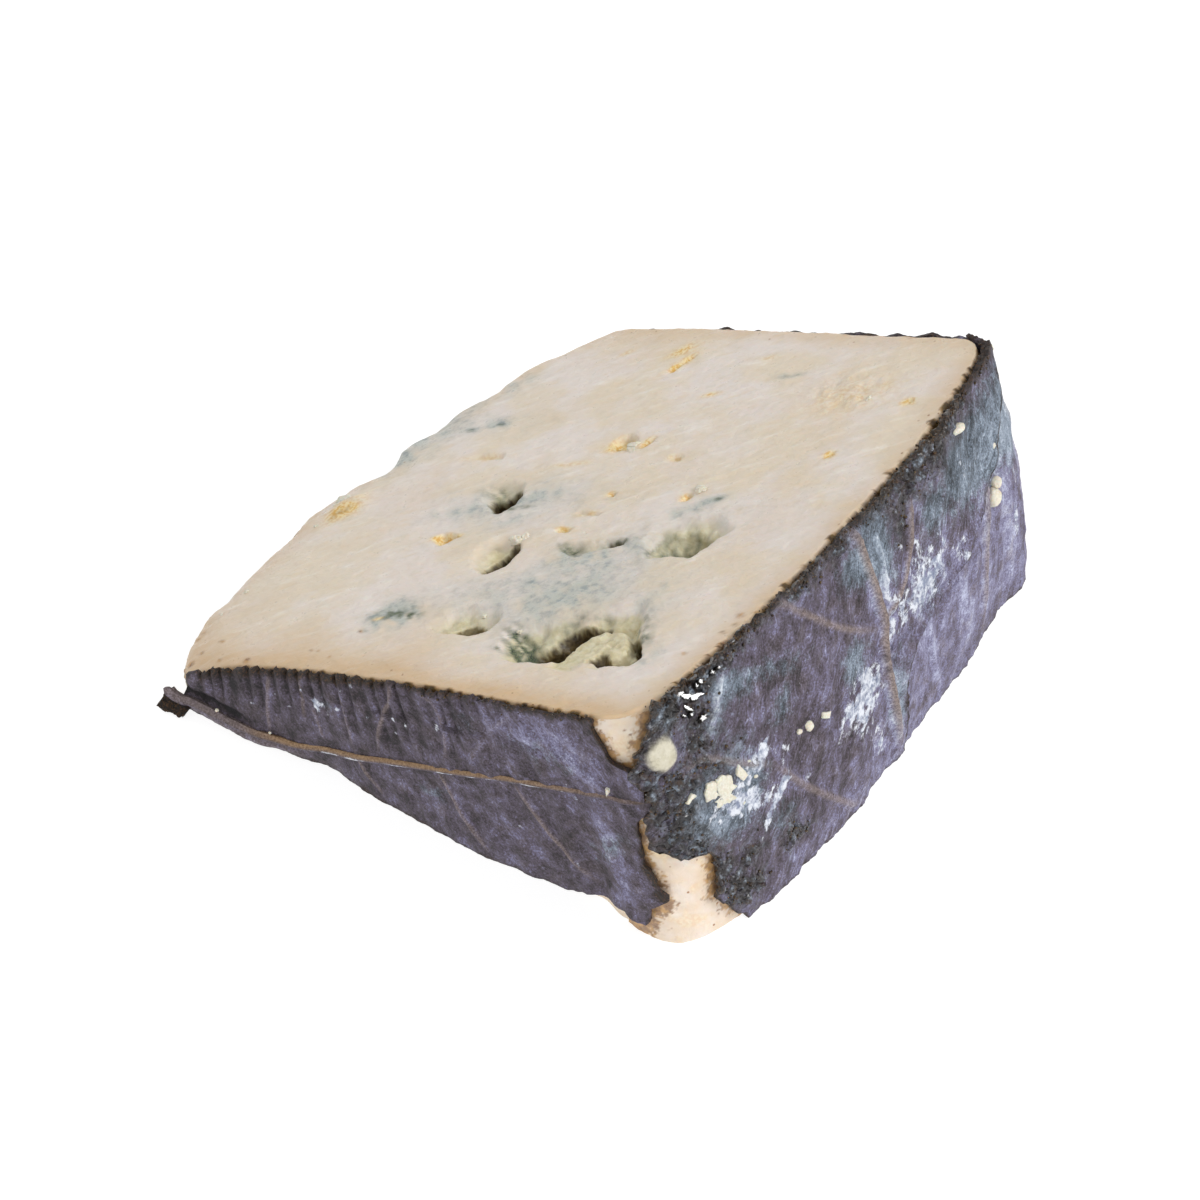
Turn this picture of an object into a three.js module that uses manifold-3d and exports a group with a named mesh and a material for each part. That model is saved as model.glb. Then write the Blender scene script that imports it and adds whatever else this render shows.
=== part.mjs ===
// A wedge of blue cheese cut from a wheel that is wrapped in broad leaves.
// It lies on one of its two cut faces, with the other cut face up and the leaf-wrapped rind round three sides.
// Millimetres, +Z up. While it is built, the wheel's axis is the Y axis: X and Z are 0 there, the lower cut face
// is the plane Z = 0, and the upper cut face rises from the axis towards the rim.
// The finished group is moved so that its origin is the centre of the bottom of its bounding box.

import * as THREE from "three";
import { mergeVertices } from "three/addons/utils/BufferGeometryUtils.js";
import Module from "manifold-3d";

const wasm = await Module();
wasm.setup();

// The wheel that the wedge comes from.
const WHEEL_HEIGHT = 100; // between its two flat faces, along Y
const SHOULDER_RADIUS = 100; // where a flat face and the rim would meet, if their edge were sharp
const SHOULDER_ROUND = 6; // how far along each face the rounded edge starts
const RIM_LEAN = 0.316; // how fast the rim widens where it leaves the rounded edge
const RIM_REACH = 19.8; // how far along Y that widening takes to level out

// The two cuts.
const WEDGE_ANGLE = THREE.MathUtils.degToRad(24.6);
const NEAR_TIP = 11; // distance from the axis to the broken thin edge, at the near flat face
const FAR_TIP = 25; // the same at the far flat face
const EDGE_BOW = 14; // how far the thin edge bows back towards the axis between them
const NEAR_CROWN = 3.1; // rise of the soft upper face at the near flat face
const FAR_CROWN = 1;
const NEAR_HOLLOW = 1.8; // how far the near face leans in, under its top edge
const NEAR_HOLLOW_FADE = 20; // depth at which that lean has died out

// The leaves.
const GAP = 0.3; // between a leaf and the paste, and between one leaf and the next
const LEAF = 0.7; // thickness of a leaf
const LEAF_FOOT = 0.4; // height at which the leaves stop above the lower cut face
const PLEAT_LENGTH = 2.6; // the small folds of the near leaf, along the rind
const PLEAT_DEPTH = 0.8;
const PLEAT_RISE = 1.2; // how far a fold stands above the upper cut face
const TIP_RISE = 2.4; // how much further the near leaf stands up at the thin edge
const SHOULDER_SLACK = 1; // how loosely the leaves turn round the near rounded edge
const WAVE_DEPTH = 0.5; // slow waves of the other leaves
const WAVE_LENGTH = 19;
const LAP = 5; // how far one leaf on the rim laps over the other

const COLOURS = { paste: 0xe6d3b4, leaf: 0x4a4452, nearLeaf: 0x463d47 };

const { lerp, clamp, smoothstep } = THREE.MathUtils;
const square = (x) => x * x;

// A smooth run through stops, each [where, value], in rising order of where.
function track(stops) {
  return (x) => {
    const next = stops.findIndex(([where]) => where > x);
    if (next === 0) return stops[0][1];
    if (next < 0) return stops.at(-1)[1];
    const [[x0, y0], [x1, y1]] = [stops[next - 1], stops[next]];
    return lerp(y0, y1, smoothstep(x, x0, x1));
  };
}

// How much more of the thin edge has crumbled away, against Y.
const crumbled = track([
  [0, 0],
  [4, -1.1],
  [16, -0.8],
  [20, 0.4],
  [36, 0.2],
  [43.5, -1.4],
  [48, -1.1],
  [51, -0.1],
  [57, 3.2],
  [64, 0.5],
  [69, 2.1],
  [74, 1.3],
  [80.5, 2.5],
  [84, 1],
  [89.5, 0],
  [93, 0.8],
  [100, 0.4],
]);

// How far the foot of the rind sags outwards, against the distance along the rind.
const footSag = track([
  [12, 0],
  [19, -1.1],
  [26, -2.1],
  [35, -0.6],
  [56, 0.3],
  [62, -0.5],
  [70, -1],
  [75, -1.9],
  [80, -0.4],
  [84, 0.3],
  [89, 1.3],
  [99, 1.4],
  [110, 1],
  [126, 0],
  [143, -1.5],
  [176, -1.3],
  [184, 0.5],
]);

// The rind seen along the cut: radius against Y, from the near tip round the rim to the far tip.
function rindOutline() {
  const start = SHOULDER_RADIUS + RIM_LEAN * SHOULDER_ROUND;
  const full = start + RIM_LEAN * RIM_REACH;
  const far = (y) => WHEEL_HEIGHT - y;
  const bend = SHOULDER_ROUND + RIM_REACH;
  const outline = new THREE.Path();
  outline.moveTo(NEAR_TIP, 0);
  outline.lineTo(SHOULDER_RADIUS - SHOULDER_ROUND, 0);
  outline.quadraticCurveTo(SHOULDER_RADIUS, 0, start, SHOULDER_ROUND);
  outline.bezierCurveTo(full, bend, full, far(bend), start, far(SHOULDER_ROUND));
  outline.quadraticCurveTo(SHOULDER_RADIUS, WHEEL_HEIGHT, SHOULDER_RADIUS - SHOULDER_ROUND, WHEEL_HEIGHT);
  outline.lineTo(FAR_TIP, WHEEL_HEIGHT);
  return outline;
}

const outline = rindOutline();
const RIND_LENGTH = outline.getLength();
const [nearFaceEnd, nearRoundEnd, rimEnd, farRoundEnd] = outline.getCurveLengths();
const nearShoulder = (nearFaceEnd + nearRoundEnd) / 2;
const farShoulder = (rimEnd + farRoundEnd) / 2;

// A point of the rind in plan, as [radius, Y], so many millimetres along its outline and straight on past its
// ends, `off` millimetres off it, at a share of the way up.
function rindAt(along, up, off = 0) {
  const share = clamp(along, 0, RIND_LENGTH) / RIND_LENGTH;
  const tangent = outline.getTangent(share);
  const out = new THREE.Vector2(tangent.y, -tangent.x);
  const point = outline.getPoint(share);
  point.addScaledVector(tangent, along - share * RIND_LENGTH);
  return point.addScaledVector(out, off + footSag(along) * square(1 - clamp(up, 0, 1)));
}

// Radius of the broken thin edge.
function thinEdge(y) {
  const across = clamp(y / WHEEL_HEIGHT, 0, 1);
  const bow = 1 - Math.abs(2 * across - 1) ** 3.3;
  return lerp(NEAR_TIP, FAR_TIP, across) - EDGE_BOW * bow + crumbled(y);
}

// A point of the wedge from its radius, its Y and its share of the way up from the lower cut face (0) to the
// upper (1), with the crown of the upper face and the lean of the near face.
function place(radius, y, up) {
  const across = clamp(y / WHEEL_HEIGHT, 0, 1);
  const inner = thinEdge(y);
  const reach = clamp((radius - inner) / (SHOULDER_RADIUS - inner), 0, 1);
  const swell = Math.sin(Math.PI * Math.sqrt(reach));
  const crown = lerp(NEAR_CROWN, FAR_CROWN, across) * swell * up;
  const lean = NEAR_HOLLOW * swell * square(up) * clamp(1 - y / NEAR_HOLLOW_FADE, 0, 1);
  const turn = up * WEDGE_ANGLE;
  return new THREE.Vector3(radius * Math.cos(turn), y + lean, radius * Math.sin(turn) + crown);
}

// A point that stands `off` millimetres off the rind.
function offRind(along, up, off) {
  const { x: radius, y } = rindAt(along, up, off);
  return place(radius, y, up);
}

// A point inside the rind, from its shares across (0 at the thin edge, 1 at the rim), along Y and up.
function inside(u, v, up) {
  const edge = (share) => new THREE.Vector2(thinEdge(share * WHEEL_HEIGHT), share * WHEEL_HEIGHT);
  const near = rindAt(u * nearShoulder, up);
  const far = rindAt(lerp(RIND_LENGTH, farShoulder, u), up);
  const rim = rindAt(lerp(nearShoulder, farShoulder, v), up);
  const corners = new THREE.Vector2()
    .addScaledVector(edge(0), (1 - u) * (1 - v))
    .addScaledVector(edge(1), (1 - u) * v)
    .addScaledVector(rindAt(nearShoulder, up), u * (1 - v))
    .addScaledVector(rindAt(farShoulder, up), u * v);
  const { x: radius, y } = new THREE.Vector2()
    .addScaledVector(near, 1 - v)
    .addScaledVector(far, v)
    .addScaledVector(edge(v), 1 - u)
    .addScaledVector(rim, u)
    .sub(corners);
  return place(radius, y, up);
}

// A closed solid from a three.js geometry whose every vertex is moved by `move`.
function solidOf(geometry, move) {
  const corner = new THREE.Vector3();
  const position = geometry.getAttribute("position");
  for (let i = 0; i < position.count; i++) {
    const moved = move(corner.fromBufferAttribute(position, i));
    position.setXYZ(i, moved.x, moved.y, moved.z);
  }
  geometry.deleteAttribute("normal");
  geometry.deleteAttribute("uv");
  const merged = mergeVertices(geometry, 1e-4);
  const vertProperties = merged.getAttribute("position").array;
  const triVerts = new Uint32Array(merged.getIndex().array);
  return new wasm.Manifold(new wasm.Mesh({ numProp: 3, vertProperties, triVerts }));
}

// A unit box with so many segments each way, bent by a function of its three shares from 0 to 1.
function bentBox(segments, bend) {
  const box = new THREE.BoxGeometry(1, 1, 1, ...segments);
  return solidOf(box, (p) => bend(p.x + 0.5, p.y + 0.5, p.z + 0.5));
}

// A round rod of changing radius along a curve, with a share from 0 to 1 along it.
function rod(curve, radiusAt, steps) {
  const frames = curve.computeFrenetFrames(steps);
  const cylinder = new THREE.CylinderGeometry(1, 1, 1, 6, steps);
  return solidOf(cylinder, (p) => {
    const share = p.y + 0.5;
    const step = Math.round(share * steps);
    return curve
      .getPointAt(share)
      .addScaledVector(frames.normals[step], p.z * radiusAt(share))
      .addScaledVector(frames.binormals[step], p.x * radiusAt(share));
  });
}

// An open pit of the blue mould, as an egg sunk in the upper face.
// at: radius and Y of its middle; size: length, width and depth; turn: from the radial direction towards +Y.
function pit({ at: [radius, y], size: [length, width, depth], turn }) {
  const egg = new THREE.SphereGeometry(1, 12, 8);
  const middle = place(radius, y, 1);
  const tilt = new THREE.Quaternion().setFromAxisAngle(new THREE.Vector3(0, 1, 0), -WEDGE_ANGLE);
  const spin = new THREE.Quaternion().setFromAxisAngle(
    new THREE.Vector3(0, 0, 1),
    THREE.MathUtils.degToRad(turn),
  );
  return solidOf(egg, (p) =>
    new THREE.Vector3((p.x * length) / 2, (p.y * width) / 2, p.z * depth)
      .applyQuaternion(spin)
      .applyQuaternion(tilt)
      .add(middle),
  );
}

const PITS = [
  { at: [73, 15], size: [17, 6, 6.5], turn: 24 }, // the largest hole, either side of a tongue of paste
  { at: [86.5, 19.5], size: [11, 5, 6], turn: 112 },
  { at: [80.5, 43], size: [11.5, 5.5, 6], turn: 26 },
  { at: [49.5, 35.5], size: [8, 4.5, 6], turn: 70 },
  { at: [37, 52], size: [7, 4.5, 5], turn: 20 },
  { at: [56, 19], size: [14, 4.5, 2.5], turn: 17 },
  { at: [34, 40], size: [4.5, 2, 1.6], turn: 25 },
  { at: [51.5, 67], size: [4.5, 3, 1.5], turn: 10 },
  { at: [46, 88.5], size: [6, 2.2, 1.5], turn: 60 },
  { at: [73.5, 54.5], size: [3.2, 2.2, 1.5], turn: 60 },
];

function paste() {
  let body = bentBox([26, 30, 6], inside);
  for (const hole of PITS) body = body.subtract(pit(hole));
  return body;
}

// A thin leaf pressed on the rind.
// station: how far along the rind each column of the grid stands, against its share of the leaf's length and its
// share of the way up; fold: how far the leaf stands off the paste there; rise: how far its top edge stands above
// the upper cut face.
function leaf({ station, columns, rows, fold, rise = () => 0 }) {
  return bentBox([columns, rows, 1], (a, b, c) => {
    const along = station(a, b);
    const point = offRind(along, b, GAP + fold(along, b) + c * LEAF);
    point.z += LEAF_FOOT * (1 - b) + rise(along) * b ** 6;
    return point;
  });
}

// How far the leaves stand off where they turn round the near rounded edge.
const slack = (along) => SHOULDER_SLACK * Math.exp(-square((along - nearShoulder) / 6));

// The near leaf's midrib, which starts as the leaf's stalk past the thin edge and runs up round the shoulder.
// Each stop is a distance along the rind and a share of the way up.
function midrib() {
  const stops = [
    [-2.6, 0.9],
    [-1, 0.52],
    [7, 0.24],
    [18, 0.17],
    [27, 0.26],
    [40, 0.42],
    [60, 0.56],
    [76, 0.62],
    [nearFaceEnd - 1, 0.65],
    [nearShoulder, 0.67],
    [nearRoundEnd - 3.5, 0.675],
  ];
  const thickness = (share) => lerp(1.25, 0.5, Math.sqrt(share));
  const points = stops.map(([along, up], i) => {
    const standOff = GAP + LEAF + slack(along) + 0.5 * thickness(i / (stops.length - 1));
    return offRind(along, up, standOff);
  });
  return rod(new THREE.CatmullRomCurve3(points), thickness, 20);
}

function nearLeaf() {
  const evenTo = 80.6; // the columns are evenly spaced up to here, three to a fold
  const evenShare = 94 / 102;
  const end = track([
    [0, 84.8],
    [0.1, 85.6],
    [0.19, 87.4],
    [0.28, 86.3],
    [0.42, 85.2],
    [0.56, 85.6],
    [0.68, 91],
    [0.82, 84.6],
    [1, 83],
  ]);
  const station = (a, b) =>
    a < evenShare ? lerp(-1, evenTo, a / evenShare) : lerp(evenTo, end(b), (a - evenShare) / (1 - evenShare));
  const wave = (along) => square(Math.sin((Math.PI * along) / PLEAT_LENGTH)) * (1 - smoothstep(along, 50, 80));
  const fold = (along, up) => PLEAT_DEPTH * wave(along) * smoothstep(up, 0.1, 1) + slack(along);
  const rise = (along) => PLEAT_RISE * wave(along) + TIP_RISE * (1 - smoothstep(along, -1, 5));
  return leaf({ station, columns: 102, rows: 7, fold, rise }).add(midrib());
}

// A wave that lets a leaf stand off the paste a little here and there.
const slowWave = (along) => WAVE_DEPTH * square(Math.sin((Math.PI * along) / WAVE_LENGTH)) + slack(along);

// Where the two leaves on the rim meet, along the rind against the share of the way up.
const rimSeam = track([
  [0, 139],
  [0.25, 145],
  [0.45, 155],
  [0.6, 167],
  [0.8, 178],
  [1, 185],
]);

function rimLeaf() {
  const start = track([
    [0, 99],
    [0.1, 95.8],
    [0.18, 93.6],
    [0.34, 94],
    [0.46, 88],
    [0.56, 87.4],
    [0.68, 93],
    [0.82, 86.8],
    [0.92, 87.8],
    [1, 91],
  ]);
  const station = (a, b) => lerp(start(b), rimSeam(b), a);
  return leaf({ station, columns: 30, rows: 10, fold: slowWave });
}

// The next leaf on the rim laps over that one along the seam.
function farRimLeaf() {
  const end = farShoulder + 3;
  const overLap = (along, up) => (LEAF + GAP + 0.1) * (1 - smoothstep(along, rimSeam(up), rimSeam(up) + LAP));
  const station = (a, b) => lerp(rimSeam(b) - LAP, end, a);
  const fold = (along, up) => slowWave(along) + overLap(along, up);
  return leaf({ station, columns: 22, rows: 10, fold });
}

function farLeaf() {
  const start = farShoulder + 3 + 2 * GAP;
  const station = (a) => lerp(start, RIND_LENGTH - 1, a);
  return leaf({ station, columns: 24, rows: 6, fold: slowWave });
}

function mesh(name, solid, color, roughness) {
  const { vertProperties, triVerts } = solid.getMesh();
  const geometry = new THREE.BufferGeometry();
  geometry.setAttribute("position", new THREE.BufferAttribute(vertProperties, 3));
  geometry.setIndex(new THREE.BufferAttribute(triVerts, 1));
  geometry.computeVertexNormals();
  const made = new THREE.Mesh(geometry, new THREE.MeshStandardMaterial({ color, roughness, metalness: 0 }));
  made.name = name;
  return made;
}

const wedge = new THREE.Group();
wedge.add(mesh("paste", paste(), COLOURS.paste, 0.5));
wedge.add(mesh("leaf_near", nearLeaf(), COLOURS.nearLeaf, 0.75));
wedge.add(mesh("leaf_rim", rimLeaf(), COLOURS.leaf, 0.75));
wedge.add(mesh("leaf_rim_far", farRimLeaf(), COLOURS.leaf, 0.75));
wedge.add(mesh("leaf_far", farLeaf(), COLOURS.leaf, 0.75));

const bounds = new THREE.Box3().setFromObject(wedge);
const middle = bounds.getCenter(new THREE.Vector3());
wedge.position.set(-middle.x, -middle.y, -bounds.min.z);

const part = new THREE.Group();
part.add(wedge);

export default part;
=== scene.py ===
"""A wedge of blue cheese cut from a leaf-wrapped wheel, lying on one cut face on a pale floor.

Shapes are worked out in millimetres in the wheel's own frame: its axis is the Y axis, from the near flat
face at Y = 0 to the far one, and the lower cut face is the plane Z = 0. A point of the rind has its
distance along the rind, its share of the way up from the lower cut face (0) to the upper (1), and its
distance off the rind. A point of the upper cut face has its distance from the axis (the radius) and its Y.
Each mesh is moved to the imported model's frame, in metres, as it is made. Colours are hex, as they look.
"""

import math

import bmesh
import bpy
import numpy as np
from mathutils import Matrix


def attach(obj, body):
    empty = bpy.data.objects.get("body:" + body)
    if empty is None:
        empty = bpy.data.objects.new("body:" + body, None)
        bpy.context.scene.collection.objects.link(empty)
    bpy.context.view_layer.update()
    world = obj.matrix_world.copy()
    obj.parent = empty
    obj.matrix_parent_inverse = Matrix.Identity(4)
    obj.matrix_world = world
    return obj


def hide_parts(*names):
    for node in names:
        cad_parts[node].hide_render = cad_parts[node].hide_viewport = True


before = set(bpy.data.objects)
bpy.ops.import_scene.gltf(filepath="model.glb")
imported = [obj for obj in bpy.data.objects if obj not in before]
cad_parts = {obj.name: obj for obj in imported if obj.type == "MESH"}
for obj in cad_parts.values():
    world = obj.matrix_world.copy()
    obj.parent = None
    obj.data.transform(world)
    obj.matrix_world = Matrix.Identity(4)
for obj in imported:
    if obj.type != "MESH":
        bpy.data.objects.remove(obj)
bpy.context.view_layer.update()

# The wheel and the two cuts, with the names and values that the solids have.
WHEEL_HEIGHT = 100
SHOULDER_RADIUS = 100
SHOULDER_ROUND = 6
RIM_LEAN = 0.316
RIM_REACH = 19.8
WEDGE_ANGLE = math.radians(24.6)
NEAR_TIP = 11
FAR_TIP = 25
EDGE_BOW = 14
NEAR_CROWN = 3.1
FAR_CROWN = 1
NEAR_HOLLOW = 1.8
NEAR_HOLLOW_FADE = 20
WHEEL_ORIGIN = np.array([-54.682, -49.562, 0])  # the axis at the near flat face, in the model's frame

# The leaves.
GAP = 0.3
LEAF = 0.7
PLEAT_LENGTH = 2.6
PLEAT_DEPTH = 0.8
SHOULDER_SLACK = 1
SLACK_REACH = 6
WAVE_DEPTH = 0.5
WAVE_LENGTH = 19
LEAF_TOP = GAP + LEAF  # how far a flat leaf's outer face stands off the rind
SUNK = 0.15  # how far a leaf's inner face is pressed into the paste
FOOT_LIFT = 0.12  # how far a leaf's lower edge is lifted
TOP_RISE = 12  # the power of the way up that keeps what lifts an upper edge close to that edge

# The camera, fitted to the photograph.
AZIMUTH = math.radians(33.95)
ELEVATION = math.radians(43.80)
LENS = 155.95
SENSOR = 36
EYE = np.array([379.81, -435.21, 566.30])  # in the wheel's frame

UPWARD = np.array([-math.sin(WEDGE_ANGLE), 0, math.cos(WEDGE_ANGLE)])  # square to the upper cut face
TO_VIEWER = np.array([0.737, -0.675])  # radius and Y of the way to the viewer, in the upper cut face
KNIFE = 0.78, 0.62  # radius and Y of the way that the knife was drawn, in the upper cut face
KNIFE_TURN = math.atan2(0.62, 0.71)  # the same way seen from above, from X towards Y
HASH_FACTORS = 0x8DA6B343, 0xD8163841, 0xCB1AB31F, 0x9E3779B1  # large odd numbers that scatter well


# ---------------------------------------------------------------- numbers

def smooth(x, low, high):
    """0 below low, 1 above high, and a smooth run between them."""
    share = np.clip((x - low) / (high - low), 0, 1)
    return share * share * (3 - 2 * share)


def mix(a, b, share):
    """One number for a share of 0, the other for 1, and between them in between."""
    return a + (b - a) * share


def track(stops):
    """A smooth run through stops, each (where, value), in rising order of where."""
    where, value = np.array(stops, float).T

    def at(x):
        i = np.clip(np.searchsorted(where, x, side="right") - 1, 0, len(where) - 2)
        return mix(value[i], value[i + 1], smooth(x, where[i], where[i + 1]))

    return at


def hashed(cells, seed):
    """Three numbers from -1 to 1 for every cell of a lattice, always the same for the same cell and seed."""
    x, y, z = (cells[..., i].astype(np.int64).astype(np.uint32) for i in range(3))
    mixed = x * np.uint32(HASH_FACTORS[0]) ^ y * np.uint32(HASH_FACTORS[1]) ^ z * np.uint32(HASH_FACTORS[2])
    mixed ^= np.uint32(seed * HASH_FACTORS[3] & 0xFFFFFFFF)
    out = []
    for _ in range(3):
        mixed = (mixed ^ (mixed >> np.uint32(15))) * np.uint32(0x2C1B3C6D)
        mixed = (mixed ^ (mixed >> np.uint32(12))) * np.uint32(0x297A2D39)
        mixed ^= mixed >> np.uint32(15)
        out.append(mixed / 2**31 - 1)
    return np.stack(out, -1)


def noise(points, size, seed=0):
    """Smooth noise from about -1 to 1 at points, with bumps about `size` millimetres across."""
    scaled = points / np.asarray(size, float)
    cell = np.floor(scaled)
    share = scaled - cell
    fade = share**3 * (share * (share * 6 - 15) + 10)
    total = 0
    for corner in np.ndindex(2, 2, 2):
        weight = np.prod(np.where(corner, fade, 1 - fade), axis=-1)
        total = total + weight * np.sum(hashed(cell + corner, seed) * (share - corner), axis=-1)
    return total * 1.5


def rough(points, size, seed=0, octaves=3):
    """Noise with finer noise on it."""
    return sum(noise(points, np.asarray(size) / 2**i, seed + i) / 2**i for i in range(octaves))


def flat_points(a, b):
    """Points in a plane, as noise takes them."""
    return np.stack([a, b, 0 * a], -1)


def unit(vectors):
    """The same ways, each one long."""
    return vectors / np.linalg.norm(vectors, axis=-1)[..., None]


def oval(right, ahead, size, turn):
    """1 in an oval's middle, falling to 0 round it.

    right and ahead: how far a place is from the middle; turn: of the oval, in degrees from right to ahead.
    """
    turn = math.radians(turn)
    a = (right * math.cos(turn) + ahead * math.sin(turn)) / size[0]
    b = (ahead * math.cos(turn) - right * math.sin(turn)) / size[1]
    return np.exp(-(a * a + b * b))


def hill(x, at, width):
    """1 at one number, falling to 0 on both sides of it."""
    return np.exp(-(((x - at) / width) ** 2))


# ---------------------------------------------------------------- the wheel

crumbled = track([
    (0, 0), (4, -1.1), (16, -0.8), (20, 0.4), (36, 0.2), (43.5, -1.4), (48, -1.1), (51, -0.1), (57, 3.2),
    (64, 0.5), (69, 2.1), (74, 1.3), (80.5, 2.5), (84, 1), (89.5, 0), (93, 0.8), (100, 0.4),
])
foot_sag = track([
    (12, 0), (19, -1.1), (26, -2.1), (35, -0.6), (56, 0.3), (62, -0.5), (70, -1), (75, -1.9), (80, -0.4),
    (84, 0.3), (89, 1.3), (99, 1.4), (110, 1), (126, 0), (143, -1.5), (176, -1.3), (184, 0.5),
])


def bezier(*corners):
    """Points of the Bezier curve with these corners, which is a straight line for two."""
    share = np.linspace(0, 1, 200)[:, None]
    points = [np.array(corner, float) + 0 * share for corner in corners]
    while len(points) > 1:
        points = [mix(a, b, share) for a, b in zip(points, points[1:])]
    return points[0]


def rind_outline():
    """The rind's curves, seen along the cut: radius against Y, from the near tip to the far one."""
    start = SHOULDER_RADIUS + RIM_LEAN * SHOULDER_ROUND
    full = start + RIM_LEAN * RIM_REACH
    bend = SHOULDER_ROUND + RIM_REACH
    straight = SHOULDER_RADIUS - SHOULDER_ROUND
    far = WHEEL_HEIGHT
    return [
        bezier((NEAR_TIP, 0), (straight, 0)),
        bezier((straight, 0), (SHOULDER_RADIUS, 0), (start, SHOULDER_ROUND)),
        bezier((start, SHOULDER_ROUND), (full, bend), (full, far - bend), (start, far - SHOULDER_ROUND)),
        bezier((start, far - SHOULDER_ROUND), (SHOULDER_RADIUS, far), (straight, far)),
        bezier((straight, far), (FAR_TIP, far)),
    ]


curves = rind_outline()
curve_lengths = [np.linalg.norm(np.diff(curve, axis=0), axis=1).sum() for curve in curves]
near_face_end, near_round_end, rim_end, far_round_end, RIND_LENGTH = np.cumsum(curve_lengths)
near_shoulder = (near_face_end + near_round_end) / 2
far_shoulder = (rim_end + far_round_end) / 2
rind_points = np.concatenate([curves[0]] + [curve[1:] for curve in curves[1:]])
rind_stations = np.append(0, np.cumsum(np.linalg.norm(np.diff(rind_points, axis=0), axis=1)))
rind_tangents = np.gradient(rind_points, rind_stations, axis=0)


def rind_plan(along, up, off=0):
    """Radius and Y of a point of the rind, straight on past its ends."""
    station = np.clip(along, 0, RIND_LENGTH)
    radius, y = (np.interp(station, rind_stations, rind_points[:, i]) for i in range(2))
    across, ahead = (np.interp(station, rind_stations, rind_tangents[:, i]) for i in range(2))
    out = off + foot_sag(along) * (1 - np.clip(up, 0, 1)) ** 2
    past = along - station
    return radius + across * past + ahead * out, y + ahead * past - across * out


def thin_edge(y):
    """Radius of the broken thin edge."""
    share = np.clip(y / WHEEL_HEIGHT, 0, 1)
    return mix(NEAR_TIP, FAR_TIP, share) - EDGE_BOW * (1 - np.abs(2 * share - 1) ** 3.3) + crumbled(y)


def place(radius, y, up):
    """A point of the wedge, with the crown of the upper face and the lean of the near face."""
    share = np.clip(y / WHEEL_HEIGHT, 0, 1)
    inner = thin_edge(y)
    reach = np.clip((radius - inner) / (SHOULDER_RADIUS - inner), 0, 1)
    swell = np.sin(np.pi * np.sqrt(reach))
    crown = mix(NEAR_CROWN, FAR_CROWN, share) * swell * up
    lean = NEAR_HOLLOW * swell * up**2 * np.clip(1 - y / NEAR_HOLLOW_FADE, 0, 1)
    turn = up * WEDGE_ANGLE
    return np.stack([radius * np.cos(turn), y + lean, radius * np.sin(turn) + crown], -1)


def on_rind(along, up, off=0):
    """A point so far off the rind."""
    along, up, off = np.broadcast_arrays(*(np.asarray(x, float) for x in (along, up, off)))
    return place(*rind_plan(along, up, off), up)


def on_top(radius, y, height=0):
    """A point `height` above the upper cut face."""
    radius, y, height = np.broadcast_arrays(*(np.asarray(x, float) for x in (radius, y, height)))
    return place(radius, y, np.ones_like(radius)) + height[..., None] * UPWARD


def inside_plan(u, v, up):
    """Radius and Y inside the rind, from the shares across (0 at the thin edge, 1 at the rim) and along Y."""
    edge = lambda share: np.array([thin_edge(share * WHEEL_HEIGHT), share * WHEEL_HEIGHT])
    rind = lambda along: np.array(rind_plan(along, up))
    zero = 0 * v
    corners = (
        (1 - u) * (1 - v) * edge(zero) + (1 - u) * v * edge(zero + 1)
        + u * (1 - v) * rind(zero + near_shoulder) + u * v * rind(zero + far_shoulder)
    )
    return (
        (1 - v) * rind(u * near_shoulder) + v * rind(mix(RIND_LENGTH, far_shoulder, u))
        + (1 - u) * edge(v) + u * rind(mix(near_shoulder, far_shoulder, v)) - corners
    )


# ---------------------------------------------------------------- meshes

def added(name, data):
    """A new object in the scene."""
    thing = bpy.data.objects.new(name, data)
    bpy.context.scene.collection.objects.link(thing)
    return thing


def make(name, points, faces, material, marks=None, nodes=(), sharp=60):
    """A piece from points in millimetres and faces, with its marks: numbers or vectors for the material."""
    mesh = bpy.data.meshes.new(name)
    mesh.from_pydata(((points + WHEEL_ORIGIN) / 1000).tolist(), [], faces)
    for key, values in (marks or {}).items():
        kind, field = ("FLOAT", "value") if values.ndim == 1 else ("FLOAT_VECTOR", "vector")
        mesh.attributes.new(key, kind, "POINT").data.foreach_set(field, values.astype(np.float32).ravel())
    mesh.shade_smooth()
    mesh.set_sharp_from_angle(angle=math.radians(sharp))
    mesh.materials.append(material)
    piece = added(name, mesh)
    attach(piece, "root")
    if nodes:
        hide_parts(*nodes)
    return piece


def grid_faces(index):
    """Quads between the neighbours of a grid of vertex numbers."""
    return np.stack([index[:-1, :-1], index[1:, :-1], index[1:, 1:], index[:-1, 1:]], -1).reshape(-1, 4)


def grid_border(index):
    """The vertex numbers round a grid, in the turn that its faces have."""
    return np.concatenate([index[:-1, 0], index[-1, :-1], index[:0:-1, -1], index[0, :0:-1]])


def wall_faces(upper, lower):
    """Quads between two closed loops of as many vertex numbers."""
    return np.stack([np.roll(upper, -1), upper, lower, np.roll(lower, -1)], -1)


def shell_faces(columns, rows):
    """A thin closed sheet: the outer grid of vertices, then the inner one, and the wall round them."""
    outer = np.arange(columns * rows).reshape(columns, rows)
    inner = outer + columns * rows
    border = grid_border(outer)
    faces = [grid_faces(outer), grid_faces(inner)[:, ::-1], wall_faces(border, border + columns * rows)]
    return np.concatenate(faces).tolist()


def ball(detail):
    """Points and triangles of a ball of radius 1."""
    made = bmesh.new()
    bmesh.ops.create_icosphere(made, subdivisions=detail, radius=1)
    points = np.array([vertex.co for vertex in made.verts])
    faces = np.array([[vertex.index for vertex in face.verts] for face in made.faces])
    made.free()
    return points, faces


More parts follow.
